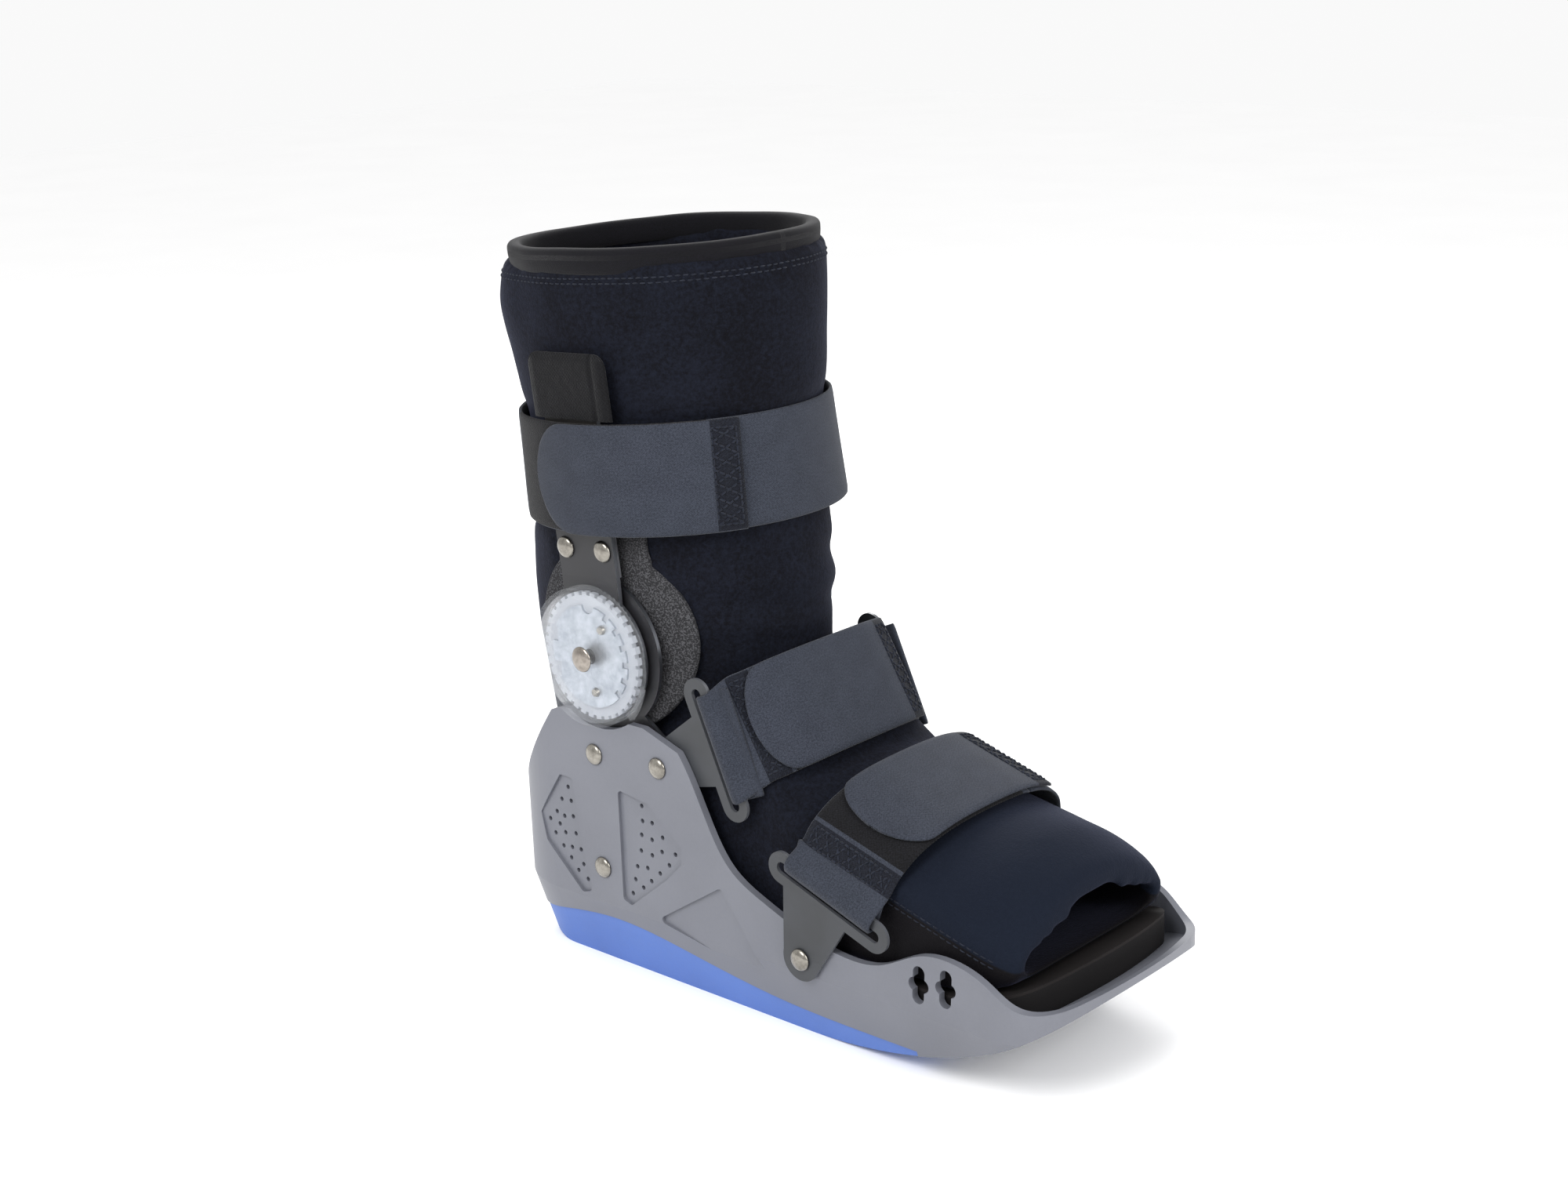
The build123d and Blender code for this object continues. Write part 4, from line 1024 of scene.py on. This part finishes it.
# %% Base layers and closing layers
def foot_strap(strap, tip_u, patch_u, root_u):
    """All the tape of one foot strap."""
    half = strap.half_arch
    arch = [(-u, v) for u, v in reversed(half[1:])] + half
    over = Ribbon([strap.arch_pair(u, v) for u, v in arch], lambda p: strap.normal, steps=10)
    for side_name, side in SIDES.items():
        # The two base layers meet with a gap of 0.6 mm under the closing layer.
        reach = patch_u - (2.3 if side < 0 else 1.7)
        path = Ribbon(strap.path(side, reach), lambda p: Vector((0, side * 0.3, 0)) + strap.normal, steps=8)
        flat = path.nearest((sum(strap.arch_pair(side * half[-1][0], half[-1][1]), Vector())) / 2)
        fuzzy = (flat + 9.5, path.total - 6) if side < 0 else (-2, -1)
        sewn = (flat - 1.0, flat + 8.5)
        layer = band(
            f"{strap.name}_strap_base_{side_name}",
            path,
            0.0,
            path.total,
            0.05,
            WEB_T - 0.2,
            ["webbing", "hook_pile", "stitched_tape"],
            zones=[fuzzy, sewn],
            ripple=0.05,
        )
        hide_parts(f"{strap.name}_strap_web_{side_name}", f"{strap.name}_web_loop_{side_name}")
        start = (sum(strap.loop_pair(side, 2.0, strap.bar), Vector())) / 2
        end = (sum(strap.arch_pair(side * half[-1][0], half[-1][1]), Vector())) / 2
        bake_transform(layer)
        sewing = threads(
            f"{strap.name}_strap_stitches_{side_name}",
            box_stitch(path, sewn[0], sewn[1], WEB_T - 0.1),
            radius=0.4,
            stitch=1.9,
            gap=0.45,
            body=None,
        )
        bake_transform(sewing)
    tip_s = over.nearest((sum(strap.arch_pair(tip_u, over_height(half, abs(tip_u))), Vector())) / 2)
    root_s = over.nearest((sum(strap.arch_pair(root_u, over_height(half, root_u)), Vector())) / 2)
    flap = band(
        f"{strap.name}_flap_tape",
        over,
        tip_s,
        root_s,
        WEB_T + 0.3,
        WEB_T,
        ["webbing", "stitched_tape"],
        tip=11.0,
        zones=[(root_s - 9.5, root_s + 1)],
    )
    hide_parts(f"{strap.name}_strap_flap")
    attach(flap, f"{strap.name}_flap")
    threads(
        f"{strap.name}_flap_stitches",
        box_stitch(over, root_s - 10, root_s - 0.4, 2 * WEB_T + 0.42),
        radius=0.42,
        stitch=2.1,
        gap=0.45,
        body=f"{strap.name}_flap",
    )
    return over


def over_height(half, u):
    """The arch's height at a distance from the crown."""
    for (u0, v0), (u1, v1) in zip(half, half[1:]):
        if u0 <= u <= u1:
            return v0 + (v1 - v0) * (u - u0) / (u1 - u0)
    return half[-1][1]


rear_over = foot_strap(rear, tip_u=-42, patch_u=22, root_u=35)
front_over = foot_strap(front, tip_u=-40, patch_u=27, root_u=38)
print("foot straps", round(rear_over.total), "and", round(front_over.total), "mm over the foot")

# %% [markdown]
# ## Cuff binding
# The top edge of the liner is folded into soft tape. A slim oval, longer below than above, is swept round the
# mouth, with a gentle wave so that the edge isn't a machined ring, and two rows of stitches run below it.

# %% Sweeping the binding
TOP_CENTRE, TOP_LONG, TOP_WIDE = 3.0, 63.2, 56.9


def mouth(angle, inset):
    """A place on the cuff's top oval, forward and across."""
    a = math.radians(angle)
    return TOP_CENTRE + (TOP_LONG - inset) * math.cos(a), (TOP_WIDE - inset) * math.sin(a)


def sweep_binding():
    """A soft tube of tape over the liner's edge."""
    profile = []
    for i in range(24):
        c, s = math.cos(2 * math.pi * i / 24), math.sin(2 * math.pi * i / 24)
        thick = math.copysign(abs(c) ** 0.7, c)
        profile.append((3.4 - 2.9 * thick, 2.4 * s if s > 0 else 7.5 * s))
    around = 144
    points, cloth, faces = [], [], []
    for i in range(around):
        angle = 360 * i / around
        a = math.radians(angle)
        wave = 0.9 * noise.noise(Vector((math.cos(a), math.sin(a), 3.1)) * 1.6)
        tuck = 0.22 * noise.noise(Vector((angle * 0.09, 7.7, 1.0)))
        for k, (inset, lift) in enumerate(profile):
            f, y = mouth(angle, inset + tuck)
            points.append(leg_at(f, y, 152.0 + lift + wave))
            cloth.append((angle / 360 * 0.36, k * 0.0011))
    size = len(profile)
    for i in range(around):
        j = (i + 1) % around
        for k in range(size):
            n = (k + 1) % size
            faces.append((i * size + k, i * size + n, j * size + n, j * size + k))
    thing = build("cuff_binding_tape", points, faces, "binding_tape", cloth)
    return thing


binding = sweep_binding()
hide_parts("cuff_binding")
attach(binding, "leg")


# %% Rows of stitches on the liner
def on_liner(origin, way):
    """The place and direction where a ray meets the liner's outside."""
    hit, normal, _, _ = liner_tree.ray_cast(origin, way)
    if hit is None:
        return None
    return hit, normal if normal.dot(way) < 0 else -normal


def ring_on_cuff(up, step=2.0):
    """A line round the cuff at a height over the ankle axis."""
    line = []
    angle = 0.0
    while angle <= 360:
        a = math.radians(angle)
        way = (FORWARD * math.cos(a) + ACROSS * math.sin(a)).normalized()
        found = on_liner(leg_at(3, 0, up) + way * 0.2, -way)
        if found:
            line.append(found)
        angle += step
    return line


rows = [ring_on_cuff(143.5), ring_on_cuff(141.6)]
threads("cuff_stitches", rows, radius=0.3, stitch=2.0, gap=0.9, body="leg")
print("binding and its stitches done")

# %% [markdown]
# ## Dark pile patches over the uprights
# A patch of black pile on each side of the cuff holds the upright's top in a pocket. It is a padded patch
# with rounded upper corners, soft edges and a sewn groove near its front edge.


# %% A pocket patch
def pocket_patch(side_name, side):
    """A padded patch that follows the CAD sleeve's tilted plane."""
    centre_f, wide = 3.0, 41.0
    bottom, top = 91.5, 116.5
    base_y = HINGE_OUT + BAR_T + 0.3
    points, cloth, faces = [], [], []
    columns, rows = 40, 28
    for layer in (0, 1):
        for i in range(columns + 1):
            for j in range(rows + 1):
                a, b = 2 * i / columns - 1, 2 * j / rows - 1
                corner = 5.5
                f = a * wide / 2
                u = (bottom + top) / 2 + b * (top - bottom) / 2
                over_f = max(abs(f) - (wide / 2 - corner), 0)
                over_u = max(u - (top - corner), 0)
                far = math.hypot(over_f, over_u)
                if far > corner and over_f > 0 and over_u > 0:
                    f = math.copysign(wide / 2 - corner + over_f * corner / far, f)
                    u = top - corner + over_u * corner / far
                edge = min(wide / 2 - abs(f), top - u, 6)
                puff = smooth(0, 3.5, max(edge, 0))
                groove = 0.55 * math.exp(-(((f - (wide / 2 - 7.0)) / 0.8) ** 2))
                lift = 0.0 if layer == 0 else 0.5 + 0.85 * puff - groove
                out = base_y + max(u - FLARE_FROM, 0) * math.tan(FLARE) + lift
                if layer == 1:
                    out += 0.12 * noise.noise(Vector((f * 0.4, u * 0.4, side)))
                points.append(leg_at(centre_f + f, side * out, u))
                cloth.append(((f + 30) * MM, u * MM))
    size = (columns + 1) * (rows + 1)
    for layer in (0, 1):
        for i in range(columns):
            for j in range(rows):
                a = layer * size + i * (rows + 1) + j
                faces.append((a, a + 1, a + rows + 2, a + rows + 1))
    rim = [i * (rows + 1) for i in range(columns)]
    rim += [columns * (rows + 1) + j for j in range(rows)]
    rim += [i * (rows + 1) + rows for i in range(columns, 0, -1)]
    rim += [j for j in range(rows, 0, -1)]
    for a, b in zip(rim, rim[1:] + rim[:1]):
        faces.append((a, b, b + size, a + size))
    thing = build(f"pocket_patch_{side_name}", points, faces, "loop_fabric", cloth)
    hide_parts(f"upright_sleeve_{side_name}")
    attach(thing, "leg")


for side_name, side in SIDES.items():
    pocket_patch(side_name, side)
print("pocket patches done")

# %% [markdown]
# ## Foam pads behind the hinges
# The pad is die-cut foam: two flat skins with a soft rounded edge. The CAD pad gives its outline and place,
# and a lathe-like section gives the edge its radius.


# %% A foam pad with rounded edges
def foam_pad(side_name, side):
    """A pad shaped like a keyhole, flat against the hinge and rounded at its rim."""
    outline = []
    radius, neck, top = 37.0, 23.0, 47.0
    centre = (3.0, 6.0)
    join = math.degrees(math.acos(neck / radius))
    steps = 72
    sweep = [join - (180 + 2 * join) * i / steps for i in range(steps + 1)]
    for angle in sweep:
        a = math.radians(angle)
        outline.append((centre[0] + radius * math.cos(a), centre[1] + radius * math.sin(a)))
    left, right = centre[0] - neck, centre[0] + neck
    for i in range(1, 9):
        outline.append((left, outline[steps][1] + (top - outline[steps][1]) * i / 8))
    for i in range(1, 12):
        outline.append((left + (right - left) * i / 12, top))
    for i in range(8):
        outline.append((right, top + (outline[0][1] - top) * i / 8))
    count = len(outline)
    middle = (centre[0], centre[1] + 4)
    hole = 6.7
    inner, thick = 45.4, 2.0
    # Each level is how near the rim it lies, from 0 at the hole to 1, and how far through the pad.
    outer_half = [(1.0, 0.5), (1.0, 0.85), (0.985, 1.0), (0.9, 1.0), (0.55, 1.0)]
    inner_half = [(k, 1 - d) for k, d in reversed(outer_half)]
    order = [(0.0, 0.0)] + inner_half + outer_half + [(0.0, 1.0)]
    points, faces = [], []
    for k, d in order:
        for f, u in outline:
            if k >= 0.98:
                way = Vector((f - middle[0], u - middle[1])).normalized()
                place = (f - way.x * (1 - k) * 30, u - way.y * (1 - k) * 30)
            else:
                a = math.atan2(u, f)
                rim = (hole * math.cos(a), hole * math.sin(a))
                place = (rim[0] + (f - rim[0]) * k, rim[1] + (u - rim[1]) * k)
            bend = 9.0 * (max(place[0] - 10, 0) / 30) ** 2 * (1 - smooth(30, 44, place[1]))
            points.append(leg_at(place[0], side * (inner + thick * d - bend), place[1]))
    for level in range(len(order)):
        following = (level + 1) % len(order)
        for i in range(count):
            j = (i + 1) % count
            faces.append((level * count + i, level * count + j, following * count + j, following * count + i))
    thing = build(f"hinge_pad_{side_name}", points, faces, "pad_foam")
    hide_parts(f"foam_pad_{side_name}")
    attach(thing, "leg")


for side_name, side in SIDES.items():
    foam_pad(side_name, side)
print("foam pads done")

# %% [markdown]
# ## Domed rivets
# A rivet's head is pressed into a dome over a small shoulder. A turned profile with a true dome replaces the
# plain heads, and it catches one small highlight the way polished metal does.


# %% Turning a rivet
def turned(name, centres, axis, profile, finish="rivet_steel", steps=32):
    """Solids of revolution about an axis at each centre. The profile runs along the axis, in mm."""
    axis = axis.normalized()
    side = axis.orthogonal().normalized()
    other = axis.cross(side)
    points, faces = [], []
    for centre in centres:
        base = len(points)
        for height, radius in profile:
            for k in range(steps):
                a = 2 * math.pi * k / steps
                spoke = (side * math.cos(a) + other * math.sin(a)) * max(radius, 0.02)
                points.append(centre + (axis * height + spoke) * MM)
        for level in range(len(profile) - 1):
            for k in range(steps):
                n = (k + 1) % steps
                a = base + level * steps
                faces.append((a + k, a + n, a + steps + n, a + steps + k))
        faces.append(tuple(base + k for k in range(steps)))
        last = base + (len(profile) - 1) * steps
        faces.append(tuple(last + k for k in range(steps)))
    thing = build(name, points, faces, finish)
    return thing


def dome(start, radius, height):
    """The profile of a dome on a short shoulder."""
    shape = [(start, radius * 0.96), (start + 0.25, radius)]
    for i in range(1, 11):
        a = math.pi / 2 * i / 10
        shape.append((start + 0.25 + (height - 0.25) * math.sin(a), radius * math.cos(a)))
    return shape


HEAD_R, DOME_H, SHANK_R, TAIL_R = 4.3, 2.1, 2.4, 3.6


def rivet_profile(tail_in, head_in):
    """A whole rivet, from its flat tail to its domed head, measured out from the middle plane."""
    tail = [(tail_in - 0.9, 2.9), (tail_in - 0.7, TAIL_R), (tail_in, TAIL_R)]
    shank = [(tail_in, SHANK_R), (head_in, SHANK_R)]
    return tail + shank + dome(head_in, HEAD_R, DOME_H)


SHELL_RIVETS = [(-3.3, 90.0), (31.0, 92.0), (-1.8, 43.3)]
for side_name, side in SIDES.items():
    way = Vector((0, side, 0))
    centres = [at(x, 0, z) for x, z in SHELL_RIVETS]
    rivet = turned(f"shell_rivet_set_{side_name}", centres, way, rivet_profile(47.7, 54.0))
    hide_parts(f"shell_rivets_{side_name}")
    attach(rivet, "foot")
    rivet = turned(f"front_rivet_{side_name}", [at(102, 0, 34.5)], way, rivet_profile(51.0, 56.0))
    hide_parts(f"front_anchor_rivet_{side_name}")
    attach(rivet, "foot")
    tilt = (ACROSS * side * math.cos(FLARE) - UP * math.sin(FLARE)).normalized()
    foot_of_bar = leg_at(0, side * HINGE_OUT, FLARE_FROM)
    along_bar = (UP * math.cos(FLARE) + ACROSS * side * math.sin(FLARE)).normalized()
    centres = [foot_of_bar + (FORWARD * f + along_bar * 11.5) * MM for f in (9.9, -9.9)]
    rivet = turned(f"upright_rivet_pair_{side_name}", centres, tilt, rivet_profile(0.0, 3.6))
    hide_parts(f"upright_rivets_{side_name}")
    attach(rivet, "leg")
    pivot = [(46.4, 4.4), (46.6, 5.0), (47.7, 5.0), (47.7, 3.0), (60.6, 3.0)] + dome(60.6, 5.0, 1.8)
    rivet = turned(f"pivot_{side_name}", [ANKLE.copy()], way, pivot, "pivot_brass")
    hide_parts(f"pivot_rivet_{side_name}")
    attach(rivet, "foot")
print("rivets done")

# %% [markdown]
# ## Seams on the forefoot
# The wrap over the toes is sewn to the side of the liner along one seam on each side. Two rows of thread are
# dropped onto the finished skin by casting rays from outside.


# %% Forefoot seams
def side_seam(side, lift):
    """A line along the forefoot at the edge of the upper wrap."""
    line = []
    for i in range(60):
        x = 106 + i * 1.35
        z = SEAM_UP - SEAM_SLOPE * (x - SEAM_FROM) + lift
        found = on_liner(at(x, side * 90, z), Vector((0, -side, 0)))
        if found:
            line.append(found)
    return line


for side_name, side in SIDES.items():
    rows = [side_seam(side, 1.0), side_seam(side, -1.4)]
    threads(f"side_seam_{side_name}", rows, radius=0.3, stitch=2.2, gap=0.8, body="foot")
print("forefoot seams done")

# %% [markdown]
# ## Floor, light and camera
# The boot stands on a pale floor in soft light: one large lamp over its left, a weaker one at the camera's
# side and a bright surrounding. The camera is fixed by its place, its aim and a small roll.

# %% Floor
floor_mesh = bpy.data.meshes.new("floor")
floor_mesh.from_pydata([(-3, -3, 0), (3, -3, 0), (3, 3, 0), (-3, 3, 0)], [], [(0, 1, 2, 3)])
floor = add_object("floor", floor_mesh)
floor_finish = Finish("floor_paper")
paper = floor_finish.noise(floor_finish.here(), 8.0, 2.0)
floor_mesh.materials.append(
    floor_finish.set(
        Base_Color=floor_finish.mix(paper, shade("#fbfbfb"), shade("#ffffff")), Roughness=0.9 + paper * 0.05
    )
)


# %% Lights
def lamp(name, place, aim, size, watts):
    """A round lamp at a place, turned to its aim, in metres."""
    light = bpy.data.lights.new(name, "AREA")
    light.shape = "DISK"
    light.size = size
    light.energy = watts
    holder = add_object(name, light)
    holder.location = place
    holder.rotation_euler = (Vector(aim) - Vector(place)).to_track_quat("-Z", "Y").to_euler()


lamp("key_light", place=(0.15, -1.1, 1.15), aim=(0.03, 0, 0.13), size=0.8, watts=14.0)
lamp("side_light", place=(1.2, -0.15, 0.7), aim=(0.05, 0, 0.12), size=0.7, watts=7.0)
lamp("back_light", place=(-0.7, 0.9, 0.9), aim=(0, 0, 0.15), size=0.8, watts=9.0)
world = bpy.data.worlds.new("surround")
bpy.context.scene.world = world
world.use_nodes = True
world.node_tree.nodes["Background"].inputs["Color"].default_value = (1, 1, 1, 1)
world.node_tree.nodes["Background"].inputs["Strength"].default_value = 0.95
bpy.context.scene.view_settings.view_transform = "Standard"

# %% Camera
eye = Vector((0.644, -0.6544, 0.4162))
aim = Vector((0.04931, 0.0, 0.15132))
LENS_MM, ROLL = 55.69, math.radians(-1.96)
lens = bpy.data.cameras.new("camera")
lens.lens = LENS_MM
lens.sensor_width = 36.0
lens.dof.use_dof = False
camera = add_object("camera", lens)
look = (aim - eye).to_track_quat("-Z", "Y")
roll = Matrix.Rotation(ROLL, 4, "Z")
camera.matrix_world = Matrix.Translation(eye) @ look.to_matrix().to_4x4() @ roll
bpy.context.scene.camera = camera
